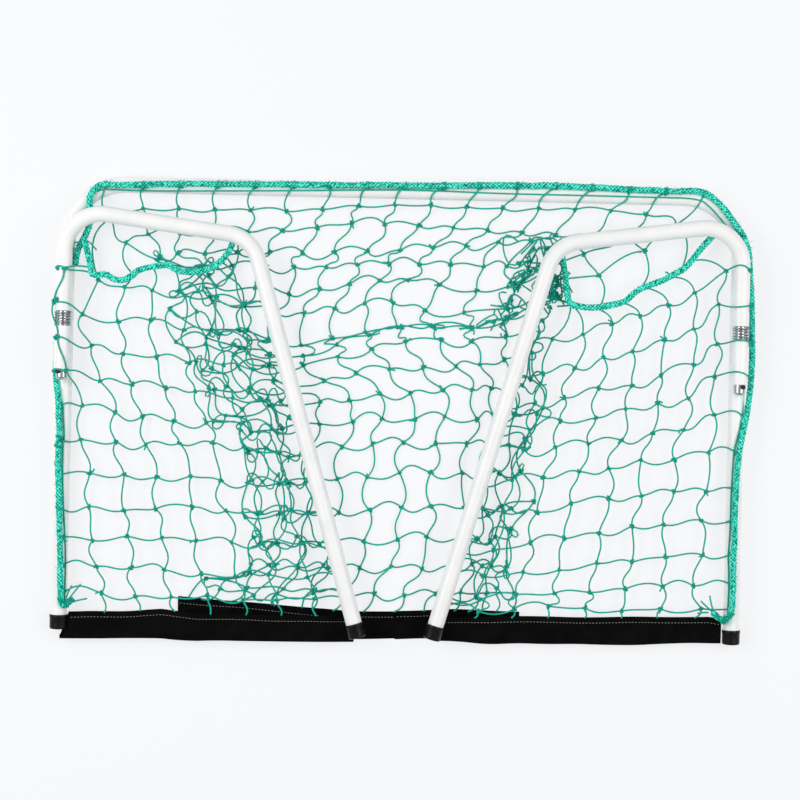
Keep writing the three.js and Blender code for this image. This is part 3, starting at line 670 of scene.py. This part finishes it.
# Heights of the side nets' rows over the feet, beside the post and beside the leg, and how far out the
# first column lies: on the left it has slipped over the pivot.
SIDE_ROWS = {
    -1: ([530, 493, 450, 398, 353, 305, 258, 212, 166, 127, 88, 50, HEM_TIE],
         [500, 455, 411, 369, 325, 287, 253, 209, 168, 124, 80, 48, HEM_TIE],
         [445, 457, 474, 467, 454, 439, 434, 422, 420, 418, 414, 403, 398]),
    1: ([545, 512, 464, 412, 365, 312, 263, 214, 170, 125, 83, 50, HEM_TIE],
        [465, 422, 377, 333, 300, 266, 223, 180, 133, 92, 60, 42, HEM_TIE],
        [450, 438, 436, 436, 436, 432, 421, 422, 416, 417, 411, 413, 410])}


def side_net(side):
    """Lays out one side net: eight cells from the post to the leg, rows that slope from one to the other,
    the top tied along the seam rope and the bottom to the hem."""
    post_rows, leg_rows, first = np.array(SIDE_ROWS[side], float)
    columns, rows = SIDE_GRID
    column = np.arange(columns)[:, None]
    share = np.clip((column - 1) / 5, 0, 1.3) ** np.where(np.arange(rows) < 6, 0.6, 1.0)
    y = post_rows * (1 - share) + leg_rows * share
    x = first + (leg_x(y) - first) * (column - 1) / 7
    x[0] = np.interp(y[0], *beside_post(side, 46, BAR_Y, 455)) - 3
    y[:, -1] = hem_edge(side * x[:, -1], SIDE_HEM[side], 2) - 1.5
    target = side * x + 1j * y
    target[:, 0] = spaced(SEAMS[side], np.linspace(0.03, 0.97, columns))
    wander = np.random.default_rng(13 + side)
    inside = (columns - 2, rows - 2)
    target[1:-1, 1:-1] += (wander.normal(size=inside) + 1j * wander.normal(size=inside)) * 2.5
    pinned, ends, arms = grid(columns, rows)
    size = target.size
    return target.ravel(), pinned.ravel(), ends, arms, np.full(size, float(-side)), np.full(size, 0.05)


# The back and roof are one sheet, 18 cells by 19, row 0 on the crossbar and row 19 on the hem. Row heights are
# given at six places from the left fold to the right one.
ROW_X = [-300, -140, -70, 0, 130, 195]
ROW_Y = np.array([
    [617, 580, 548, 520, 505, 488, 462, 432, 399, 365, 331, 297, 263, 229, 195, 162, 128, 94, 66, 47],
    [617, 580, 555, 524, 503, 466, 438, 395, 380, 368, 338, 318, 285, 250, 208, 165, 125, 90, 60, 36],
    [617, 588, 567, 528, 509, 485, 456, 415, 406, 388, 357, 322, 293, 258, 215, 170, 128, 92, 57, 31],
    [617, 592, 566, 531, 514, 490, 454, 427, 423, 406, 369, 335, 302, 267, 223, 176, 132, 95, 58, 33],
    [617, 591, 561, 544, 511, 474, 441, 431, 428, 411, 378, 342, 302, 265, 226, 180, 140, 100, 62, 37],
    [617, 591, 557, 550, 528, 508, 496, 484, 470, 440, 400, 360, 318, 275, 232, 188, 145, 100, 62, 37]])
COLUMN_12 = [146, 135, 115, 86, 66, 50, 30, 38, 46, 54, 75, 99, 105, 93, 88, 91, 85, 78, 55, 40]
GATHERED = [7, 8]  # two rows that lie together across the middle, pulled into one line
# The columns' spacing to the right of column 7, row by row.
COLUMN_GAP = [51, 49.5, 47, 45, 43, 41, 41, 44, 45, 47, 45, 42, 43, 43, 43, 43, 43, 43, 42, 42]
LEFT_FOLD = ([32, 47, 59, 99, 127, 182, 251, 291, 334, 427, 500],
             [-300, -302, -283, -216, -209, -210, -219, -261, -294, -314, -305])
RIGHT_FOLD = ([32, 126, 168, 225, 243, 313, 390, 450, 500], [170, 161, 175, 167, 180, 192, 180, 200, 215])
# The column at which each row turns back.
FOLD_LEFT = np.interp(np.arange(20), [5, 8, 11, 19], [3.8, 4.0, 4.7, 4.7])
FOLD_RIGHT = 15.2
ROOF_ROWS = 5
BAR_TIES = -459 + 51.0 * np.arange(19)  # where the crossbar's ties are, along X


def back_net():
    """Lays out the sheet that is the roof and the back: from the left leg outwards to the left fold, across
    the middle to the right fold, and back in to the right leg; above it the roof, gathered from the
    crossbar."""
    column, rows = np.arange(19), np.arange(20)
    left, right = np.interp(ROW_Y[0], *LEFT_FOLD), np.interp(ROW_Y[5], *RIGHT_FOLD)
    x = np.stack([np.interp(column, [0, FOLD_LEFT[r], 7, 12, FOLD_RIGHT, 18],
                            [-leg_x(ROW_Y[0, r]), left[r], COLUMN_12[r] - 5 * COLUMN_GAP[r], COLUMN_12[r],
                             right[r], leg_x(ROW_Y[5, r])]) for r in rows], 1)
    y = np.stack([np.interp(x[:, r], ROW_X, ROW_Y[:, r]) for r in rows], 1)
    target = x + 1j * y
    target[0, 5], target[18, 5] = -212 + 527j, 214 + 522j
    for r in range(ROOF_ROWS):
        # The roof's columns spread evenly from column 12, held in by the corners, and its rows keep their
        # heights.
        wide = COLUMN_12[r] + (column - 12) * COLUMN_GAP[r] if r else BAR_TIES
        ends_y = [*ROW_Y[:, r], ROW_Y[5, r] - 1.5, ROW_Y[5, r] - 7]
        target[:, r] = wide + 1j * np.interp(wide, ROW_X + [350, 440], ends_y)
    for edge, seam in ((0, SEAMS[-1]), (18, SEAMS[1])):
        tied = spaced(seam, np.arange(6) / 5)
        near = np.maximum(0, 1 - np.abs(column - edge) / 5)[:, None] ** np.array([8, 6, 3, 1.5, 1.5])
        target[:, 1:6] += near * (tied - target[edge, :6])[1:]
        target[edge, 1:6] = tied[1:]
    target[:, 0] = BAR_TIES + 1j * (np.interp(BAR_TIES, BAR_ROPE[:, 0], BAR_ROPE[:, 1]) - 3)
    wander = np.random.default_rng(11)
    pinned, ends, arms = grid(*BACK_GRID)
    back, across = rows >= ROOF_ROWS, column[:, None]
    loose = np.where((across < 6) | (across > 14), 1.0, 0.15) * back
    unrest = wander.normal(size=target.shape) * 6 + 1j * wander.normal(size=target.shape) * 7
    target += loose * ~pinned * unrest
    face = np.where(back & ((across < FOLD_LEFT) | (across > FOLD_RIGHT)), -1.0, 1.0)
    face[back & ((np.abs(across - FOLD_LEFT) < 0.5) | (np.abs(across - FOLD_RIGHT) < 0.4))] = 0
    hold = np.where(loose > 0.5, 0.02, 0.05)
    hold[6:15, GATHERED] = 0.4
    return target.ravel(), pinned.ravel(), ends, arms, face.ravel(), hold.ravel()


def over_tube(distance, middle):
    """The height of a cord laid over a level tube, by its distance from the tube's middle in plan: on the
    round of the tube as far as 45 degrees, then straight down at that slope."""
    reach = TUBE_R + TWINE_R + 0.2
    edge = reach * math.sqrt(0.5)
    on_top = np.sqrt(np.maximum(reach ** 2 - distance ** 2, 0))
    return middle + np.where(distance < edge, on_top, 2 * edge - distance)


def highest(*heights):
    """The highest of several heights, with the corner between them rounded over about 2 mm."""
    return 1.2 * np.log(sum(np.exp(np.asarray(h) / 1.2) for h in heights))


def laid(plan, base, by_pivot=False):
    """Points in plan set in space: each one's height is its layer's, lifted over the tubes that it lies
    on."""
    x, y = plan.real, plan.imag
    past = np.maximum(np.abs(x) - (POST_X - FRAME_BEND), 0), np.maximum(y - (BAR_Y - FRAME_BEND), 0)
    layers = [base, over_tube(np.abs(np.hypot(*past) - FRAME_BEND), POST_Z)]
    if by_pivot:
        beside = np.clip((y - 330) / 12, 0, 1) * np.clip((560 - y) / 15, 0, 1)
        layers.append(over_tube(np.abs(np.abs(x) - POST_X), AXIS_Z) - 60 * (1 - beside))
    return np.stack([x, y, highest(*layers)], -1)


def lifted(line, ends, seed, by_pivot=False):
    """The relaxed bars in space: base heights from end to end, waves between, and the tubes that they lie
    on."""
    wander = np.random.default_rng(seed)
    t = np.arange(STEPS + 1) / STEPS
    wave = np.sin(np.pi * t) * wander.normal(size=(len(line), 1)) * 1.1
    base = ends[:, :1] * (1 - t) + ends[:, 1:] * t + wave
    return laid(line, np.maximum(base, TWINE_R + 0.15), by_pivot)


def divided(lines, measure):
    """The lines cut where a measure of their points changes sign, so that both parts end exactly there."""
    parts = []
    for line in lines:
        value = measure(line)
        i = np.flatnonzero((value[:-1] > 0) != (value[1:] > 0))
        share = value[i] / (value[i] - value[i + 1])
        line = np.insert(line, i + 1, line[i] + share[:, None] * (line[i + 1] - line[i]), 0)
        cuts = [0, *(i + 1 + np.arange(len(i))), len(line) - 1]
        parts += [line[a:b + 1] for a, b in zip(cuts, cuts[1:])]
    return resample([part for part in parts if lengths(part)[-1] > 0.3], 9)


def cords(lines, sides, radius):
    """All lines as closed round cords at once, with a ring of points square to the line at each station.
    The UV runs round the cord in three and along it in one for every 2 mm."""
    along = unit(np.gradient(lines, axis=1))
    across = unit(np.cross(along, UP))
    up = np.cross(across, along)
    ring = circle(radius, sides)
    rings = lines[:, :, None] + ring[:, :1] * across[:, :, None] + ring[:, 1:] * up[:, :, None]
    uv = np.stack(np.broadcast_arrays(np.arange(sides) * 3 / sides, lengths(lines)[..., None] * 0.5), -1)
    return rings.reshape(-1, 3), ring_faces(lines.shape[1], sides, len(lines)), uv.reshape(-1, 2)


def put_cords(name, lines, sides, radius, body="front_frame", stands_for=None, material=twine_green):
    """Cords as one piece. Only the twine's finish needs the UV."""
    points, faces, uv = cords(lines, sides, radius)
    uv = uv if material == twine_green else None
    return put(name, in_place(points), faces, material, body, stands_for, uv=uv)


KNOT_STATIONS, KNOT_SIDES, KNOT_CORD_R = 13, 4, 1.45


def knot_mesh(middles, seed):
    """Every knot at once: a cord of three crossings wound round itself, the curve (sin t + 2 sin 2t, cos t
    - 2 cos 2t, -sin 3t), flattened, turned by chance and set at the knot."""
    wander = np.random.default_rng(seed)
    t = np.arange(KNOT_STATIONS) * 2 * np.pi / KNOT_STATIONS
    curve = np.stack([np.sin(t) + 2 * np.sin(2 * t), np.cos(t) - 2 * np.cos(2 * t), -1.1 * np.sin(3 * t)], 1)
    curve *= [1.15, 0.782, 0.92]
    along = unit(np.roll(curve, -1, 0) - np.roll(curve, 1, 0))
    outwards = curve - curve.mean(0)
    outwards = unit(outwards - (outwards * along).sum(1)[:, None] * along)
    ring = circle(KNOT_CORD_R, KNOT_SIDES)
    up = np.cross(along, outwards)
    shape = (curve[:, None] + ring[:, :1] * outwards[:, None] + ring[:, 1:] * up[:, None]).reshape(-1, 3)
    turn = wander.uniform(0, 2 * np.pi, (len(middles), 1))
    scale = wander.uniform(0.85, 1.15, (len(middles), 1, 1))
    plan = shape @ [1, 1j, 0] * np.exp(1j * turn)
    points = np.stack([plan.real, plan.imag, np.broadcast_to(shape[:, 2], plan.shape)], -1)
    points = points * scale + middles[:, None]
    size = KNOT_STATIONS * KNOT_SIDES
    faces = np.array(ring_faces(KNOT_STATIONS + 1, KNOT_SIDES, ends=False))[:, [0, 3, 2, 1]] % size
    faces = faces + np.arange(len(middles))[:, None, None] * size
    station, side = np.divmod(np.arange(size), KNOT_SIDES)
    uv = np.tile(np.c_[side * 3 / KNOT_SIDES, station * 0.6], (len(middles), 1))
    return points.reshape(-1, 3), faces.reshape(-1, 4), uv


def tails(middles, seed, stations):
    """Short cut ends that stand out of some of the knots, 4 to 9 mm long and a little bent."""
    wander = np.random.default_rng(seed)
    some = middles[wander.random(len(middles)) < 0.3]
    way = wander.uniform(0, 2 * np.pi, (len(some), 1))
    t = np.linspace(0, 1, stations)
    length = wander.uniform(4, 9, (len(some), 1))
    plan = length * t * np.exp(1j * (way + wander.normal(size=(len(some), 1)) * 0.7 * t))
    return some[:, None] + np.stack([plan.real, plan.imag, np.broadcast_to(1.2 * t, plan.shape)], -1)


def net_piece(name, lines, middles, seed, body=None, stands_for=None):
    """One piece of the net from its bars and knots."""
    points, faces, uv = cords(np.concatenate([lines, tails(middles, seed, lines.shape[1])]), 6, TWINE_R)
    knots, knot_faces, knot_uv = knot_mesh(middles, seed)
    faces += (knot_faces + len(points)).tolist()
    return put(name, in_place(np.vstack([points, knots])), faces, twine_green, body, stands_for,
               uv=np.vstack([uv, knot_uv]))


def bend_with(made, start, end):
    """Bakes a piece's placement into its points; the piece does not bend. start and end are not used."""
    start, end = in_place([start, end])
    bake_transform(made)


def gathered_cord(spots, count, seed):
    """Slack gathered along a line of spots: each cord runs between two points by its spot and swings wide
    on its way, by a half and a whole sine wave, each across a direction of its own."""
    wander = np.random.default_rng(seed)
    at = np.repeat(np.c_[spots, np.full(len(spots), 5.0)], count, 0)
    a = at + wander.normal(size=at.shape) * [7, 7, 1]
    b = a + wander.normal(size=at.shape) * [14, 14, 1]
    t = np.linspace(0, 1, 9)[:, None]
    swing = wander.normal(size=(2, len(at), 1, 3)) * [10, 10, 1]
    line = a[:, None] * (1 - t) + b[:, None] * t
    line += swing[0] * np.sin(np.pi * t) + swing[1] * np.sin(2 * np.pi * t)
    return resample(rounded(laid(line @ [1, 1j, 0], np.maximum(line[..., 2], 2))), 13)


for name, side in SIDES:
    layout = _, pinned, ends, *_ = side_net(side)
    knots, line = relax(*layout, 31 + side)
    wander = np.random.default_rng(51 + side)
    base = 12.5 + wander.normal(size=len(knots)) * 1.2
    base = np.where(knots.imag < 80, np.interp(knots.imag, [30, 80], [15.5, 12.5]), base)
    column, row = np.divmod(np.arange(len(knots)), SIDE_GRID[1])
    tied = ~pinned | (((column == 0) | (row == 0)) & (knots.imag > 40))
    bars = resample(rounded(lifted(line, base[ends], 61 + side, True)), 9)
    made = net_piece(f"{name}_side_netting", bars, laid(knots, base, True)[tied], 71 + side,
                     stands_for=f"{name}_side_net")
    bend_with(made, [side * POST_X, 300, AXIS_Z], [side * 440, 300, AXIS_Z])

layout = _, pinned, ends, arms, _, hold = back_net()
knots, line = relax(*layout, 33)
wander = np.random.default_rng(53)
column, row = np.divmod(np.arange(len(knots)), BACK_GRID[1])
below_roof = row >= ROOF_ROWS
past_fold = np.maximum(FOLD_LEFT[row] - column, column - FOLD_RIGHT) + 0.3
folded = np.clip(past_fold / 1.2, 0, 1) * below_roof
base = 2.0 + np.abs(wander.normal(size=len(knots))) * 1.4 + folded * 5.5
base = np.where(~below_roof & ((column < 4) | (column > 14)), 8 + wander.normal(size=len(knots)) * 2, base)
base = np.where(row == 0, 20, base)
# Where the two gathered rows lie together, the cords between them run along the line and back.
slack = np.flatnonzero((arms == 1) & (hold[ends] > 0.3).all(1))
a, b = ends[slack].T
way = knots[a + BACK_GRID[1]] - knots[a - BACK_GRID[1]]  # from the column before to the one after
way = (way / np.abs(way) * (-1.0) ** np.arange(len(slack)))[:, None]
t = np.linspace(0, 1, STEPS + 1)
line[slack] = (knots[a][:, None] + (knots[b] - knots[a])[:, None] * t
               + way * (19 * np.sin(np.pi * t) + 1.6j * np.sin(2 * np.pi * t)))
bars, middles = lifted(line, base[ends], 63), laid(knots, base)
shown = ~pinned | ((row == 0) & (np.abs(column - 9) < 8.5)) | (~below_roof & (row > 0))
in_fold = {-1: (column < FOLD_LEFT[row]) & below_roof, 1: (column > FOLD_RIGHT) & below_roof}
fold_bars = {side: in_fold[side][ends].all(1) for side in in_fold}
ROOF_Y = 500.0
sheet_bars = divided(rounded(bars[~fold_bars[-1] & ~fold_bars[1]]), lambda line: line[:, 0])
sheet_bars = divided(sheet_bars, lambda line: line[:, 1] - ROOF_Y)
ELBOW_SPOTS = [
    (193, 538), (182, 524), (167, 511), (157, 499), (153, 484), (150, 469), (146, 455), (129, 440),
    (206, 492), (217, 484), (213, 470), (204, 458)]
BACK_BEND = {-1: 200, 1: 160}  # mm from the middle, given to bend_with for the back's pieces with each wing
for name, side in SIDES:
    lines, tied = resample(rounded(bars[fold_bars[side]]), 9), middles[in_fold[side] & shown]
    if side > 0:  # the roof's slack has slid down to the wing's elbow
        extra = gathered_cord(ELBOW_SPOTS, 3, 87)
        lines, tied = np.concatenate([resample(lines, 13), extra]), np.concatenate([tied, extra[::2, 0]])
    net_piece(f"{name}_fold_netting", lines, tied, 81 + side, f"{name}_wing")
    lines = sheet_bars[sheet_bars[:, 4, 0] * side > 0]
    roof = lines[:, 4, 1] > ROOF_Y
    tied = middles[shown & ~in_fold[-1] & ~in_fold[1] & (middles[:, 0] * side > 0)]
    high = tied[:, 1] > ROOF_Y
    made = net_piece(f"{name}_back_netting", lines[~roof], tied[~high], 91 + side,
                     stands_for="back_net" if side < 0 else None)
    bend = BACK_BEND[side]
    bend_with(made, [0, 0, 0], [side * bend, 0, 0])
    made = net_piece(f"{name}_roof_netting", lines[roof], tied[high], 95 + side)
    # A slope of x / bend, less what the height over the back's top takes off, given to bend_with as the roof's
    # end.
    slope = np.array([side / bend, -(POST_X / bend) / (616 - ROOF_Y), 0])
    zero = np.array([0, ROOF_Y, 0])
    bend_with(made, zero, zero + slope / (slope @ slope))

# ---- Head cord and post cords ----
# The net's own edge cord, pulled through its outer cells just inside the rope: along the crossbar and down
# both posts, where the side nets' rows are tied to it.
HEAD_CORD = [
    (-420, 600, 24.4), (-411, 602.5, 24.6), (-400, 602.5, 23.8), (-385, 602.4, 21.4), (-348, 602, 20.6),
    (-265, 604, 22.5), (-185, 606, 23.6), (-100, 608.5, 24.4), (-14, 611.4, 24.7), (61, 611, 24.7),
    (129, 609.4, 24.6), (265, 609.6, 24.6), (340, 609.2, 24.6), (402, 609.4, 24.6), (417, 598, 24.4),
    (432, 582, 22.2), (440, 573, 22)]
put_cords("crossbar_edge_cord", eased(HEAD_CORD, 5)[None], 8, 1.05, stands_for="head_cord")
for name, side in SIDES:
    y = np.linspace(40, 328, 70)
    x = np.interp(y, *beside_post(side, 50, 330, 450)) - 5.8 * np.clip((330 - y) / 24, 0.2, 1)
    x += 0.5 * np.sin(y / 23)
    line = np.c_[side * x, y, over_tube(np.abs(POST_X - x), POST_Z)]
    put_cords(f"{name}_post_edge_cord", line[None], 8, 1.0)

# ---- Seam ropes ----
# The same braid, sewn between the roof and each side net. Its ends are tied at the wing's two corners and
# it hangs slack between them.
for name, seam, seed in (("left", LEFT_SEAM, 7), ("right", RIGHT_SEAM, 8)):
    rise = 9 * np.clip(1 - np.hypot(*(seam + [437, -537]).T) / 30, 0, 1) ** 0.7  # over the border rope's end
    braid_rope(f"{name}_seam_braid", np.c_[seam, SEAM_Z + rise], seed, f"{name}_wing", f"{name}_seam_rope")


# ---- Lashings ----
# The rope is lashed to the tubes and to the net with the net's own twine: a turn or two at every cell along
# the crossbar, and a bundle of turns with loose ends where the rope is knotted at each foot. Its own fibres
# fray.
def wound(middle, along, radius, turns, spread):
    """A coil about a point: the circle square to the rope's direction, moved along it as it turns."""
    along = unit(np.array(along, float))
    side = unit(np.cross(along, UP))
    t = np.linspace(0, 1, 60)[:, None]
    angle = 2 * np.pi * turns * t
    turn = np.cos(angle) * side + np.sin(angle) * np.cross(side, along)
    return middle + along * (t - 0.5) * spread + radius * turn


def fuzz_lines(path, seed):
    """Loose fibres on a rope, one a step: each starts on its surface at a chance angle, stands out along
    the radius and bends over sideways with the square of its length."""
    wander = np.random.default_rng(seed)
    count = len(path)
    k = wander.integers(1, count - 2, count)
    along = unit(path[k + 1] - path[k])
    across = unit(np.cross(along, UP))
    angle = wander.uniform(0, np.pi, (count, 1))  # the upper half, the one that shows
    out = np.cos(angle) * across + np.sin(angle) * np.cross(across, along)
    t = np.linspace(0, 1, 4)[:, None]
    bend = (along * wander.normal(size=(count, 1)) + across * wander.normal(size=(count, 1))) * 1.1
    length = wander.uniform(0.7, 1.5, (count, 1))
    return path[k][:, None] + out[:, None] * (ROPE_R * 0.8 + length[:, None] * t) + bend[:, None] * t ** 2


coils = []
for tie in BAR_TIES[1:-1]:
    x = tie + rng.normal() * 1.5
    if abs(x) < 400:
        at = [x, *(np.interp(x, BAR_ROPE[:, 0], part) for part in BAR_ROPE.T[1:])]
        tilted = (1, rng.normal() * 0.35, rng.normal() * 0.3)
        coils.append(wound(at, tilted, 5.0, 1.2 + 0.6 * rng.random(), 3.5 + 3 * rng.random()))
short_y, short_x = beside_post(-1, 46, BAR_Y, 0)
for y in (264, 251, 167):
    coils.append(wound([-np.interp(y, short_y, short_x), y, 27.6], (0.25, 1, 0), 5.0, 1.8, 4))
for *at, way in ((-455, 41, 28, (1, 1, 0)), (-449, 36, 24.5, (1, 0.3, 0)), (-444, 39, 21.5, (1, -1, 0)),
                 (457, 42, 28, (1, -1, 0)), (449, 35, 26.5, (1, -0.3, 0)), (441, 39, 24, (1, 1, 0))):
    coils.append(wound(at, way, 5.6, 2.7, 6))
put_cords("rope_lashings", np.array(coils), 6, 0.85)
t = np.linspace(0, 1, 24)[:, None]
ends = []
# Where each loose end starts, the way that it points in radians and its length.
KNOT_ENDS = [(-446, 42, 24, 0.9, 26), (-441, 38, 22, 0.4, 20), (-449, 44, 25, 1.2, 18), (433, 46, 22, 2.5, 20),
             (437, 42, 23, 2.1, 26), (428, 44, 20, 3.0, 14), (-441, 530, 26, 3.3, 22), (-436, 534, 26, -0.4, 22),
             (-443, 522, 24, 3.9, 16)]
for x, y, z, toward, length in KNOT_ENDS:
    turn = toward + rng.normal() * 0.5 * t
    rise = 4 * np.sin(3 * t) - 3 * t
    ends.append(np.c_[x + length * t * np.cos(turn), y + length * t * np.sin(turn), z + rise])
put_cords("rope_knot_ends", np.array(ends), 6, TWINE_R)
for name, route, seed in (("border_fibres", LONG_ROPE, 131), ("left_post_fibres", SHORT_ROPE[:-6], 132)):
    put_cords(name, fuzz_lines(eased(route, 1.0), seed), 3, 0.22, material=rope_green)

# ---- Hems ----
# Black woven polyester tape, 40 mm wide and 1.2 mm thick, sewn to the net's lowest row with one line of
# white thread. The rear one is folded back on itself under both wings' feet.
hem_black, tree = new_material("black_woven_polyester_strip")
weave = math_of(tree, "MULTIPLY", bands(tree, "X", 0.45), bands(tree, "Y", 0.45))
surface(tree, add(tree, "BsdfPrincipled", [
    ramp(tree, noise(tree, 45.0, 5.0, 0.65), (0.35, "#050506"), (0.7, "#0E0E0F")),
    bumps(tree, weave, 0.7, 0.0004)], Roughness=0.85, IOR=1.5, Specular_IOR_Level=0.06))
thread_white, tree = new_material("white_polyester_thread")
surface(tree, add(tree, "BsdfPrincipled", [
    ramp(tree, noise(tree, 900.0), (0.0, "#7C7C78"), (1.0, "#C4C4BE"))], Roughness=0.7))
HEM_WIDTH, HEM_THICK, HEM_ACROSS = 40, 1.15, 14  # mm, mm and the points across one face
STITCH, PITCH, STITCH_IN, THREAD_R = 2.4, 4.5, 8, 0.3  # a dash, from one to the next, from the top edge; mm


def hem_piece(name, x0, x1, bottom_z, seed, edges, body=None, stands_for=None, lift=0.0):
    """A strip's point by its distance along and its share across: the edges wander by smooth noise, the
    face ripples slightly, and the section is a flat loop, a front and a back joined at a rounded top and
    bottom. The stitches are dashes on its upper face."""
    wander = np.random.default_rng(seed)
    length = abs(x1 - x0)
    s = np.linspace(0, length, int(length / 3) + 2)
    places = np.arange(0, length + 80, 40)
    drift = [np.interp(s, places, wander.normal(size=len(places))) for _ in range(3)]
    drift = [np.convolve(np.pad(n, 6, mode="edge"), np.ones(13) / 13, mode="valid") for n in drift]
    at = x0 + (x1 - x0) * s / length
    low, high = (hem_edge(at, edges, which) + 0.9 * drift[which - 1] + lift for which in (1, 2))
    across = np.linspace(0, 1, HEM_ACROSS)
    height = np.r_[across, across[::-1]]  # up the front and down the back
    face = np.repeat([1.0, -1.0], HEM_ACROSS)
    pinch = np.sqrt(np.maximum(1 - (2 * height - 1) ** 8, 0))
    y = low[:, None] + (high - low)[:, None] * height
    # Beside a post's foot the lower corner sticks out past the end.
    corner = 12 * np.maximum(0, 1 - s / 24)[:, None] * np.clip((-y - 1) / 6, 0, 1) * (abs(x0) > 400)
    x = at[:, None] + np.sign(x0) * corner
    ripple = 0.35 * drift[2][:, None] * np.sin(np.pi * height)
    ripple += 0.12 * np.sin(s[:, None] / 9) * np.sin(3 * height)
    z = bottom_z + HEM_THICK / 2 + np.maximum(ripple, -0.2) + face * pinch * HEM_THICK / 2
    faces = ring_faces(len(s), 2 * HEM_ACROSS)
    if x1 < x0:
        faces = [face[::-1] for face in faces]
    uv = np.stack([np.repeat(s[:, None], 2 * HEM_ACROSS, 1), y], -1).reshape(-1, 2)
    points = in_place(np.stack([x, y, z], -1).reshape(-1, 3))
    strip = put(name, points, faces, hem_black, body, stands_for, uv=uv)
    along = np.arange(3, length - 3, PITCH)[:, None] + np.linspace(0, STITCH, 4)
    seam = np.argmin(np.abs(across - (1 - STITCH_IN / HEM_WIDTH)))
    top = np.interp(along, s, z[:, seam]) + [-0.1, 0.2, 0.2, -0.1]
    dashes = np.stack([x0 + (x1 - x0) * along / length, np.interp(along, s, high) - STITCH_IN, top], -1)
    return strip, put_cords(f"{name}_stitches", dashes, 5, THREAD_R, body, material=thread_white)


SIDE_Z = 13.4
FOLD_END = {-1: -299, 1: 171}  # where the rear strip turns back
for name, side in SIDES:
    strip, stitches = hem_piece(f"{name}_side_strip", side * 447, side * 56, SIDE_Z, 101 + side,
                                SIDE_HEM[side], stands_for=f"{name}_side_hem")
    for made in (strip, stitches):
        bend_with(made, [side * POST_X, 0, 0], [side * 440, 0, 0])
    fold = FOLD_END[side]
    strip, stitches = hem_piece(f"{name}_rear_strip", 0, fold, 0.4, 111 + side, REAR_HEM,
                                stands_for="rear_hem" if side < 0 else None)
    for made in (strip, stitches):
        bend_with(made, [0, 0, 0], [side * BACK_BEND[side], 0, 0])
    strip, stitches = hem_piece(f"{name}_rear_strip_end", fold, side * 56, 2.4, 121 + side, REAR_HEM,
                                f"{name}_wing", lift=-1.5)
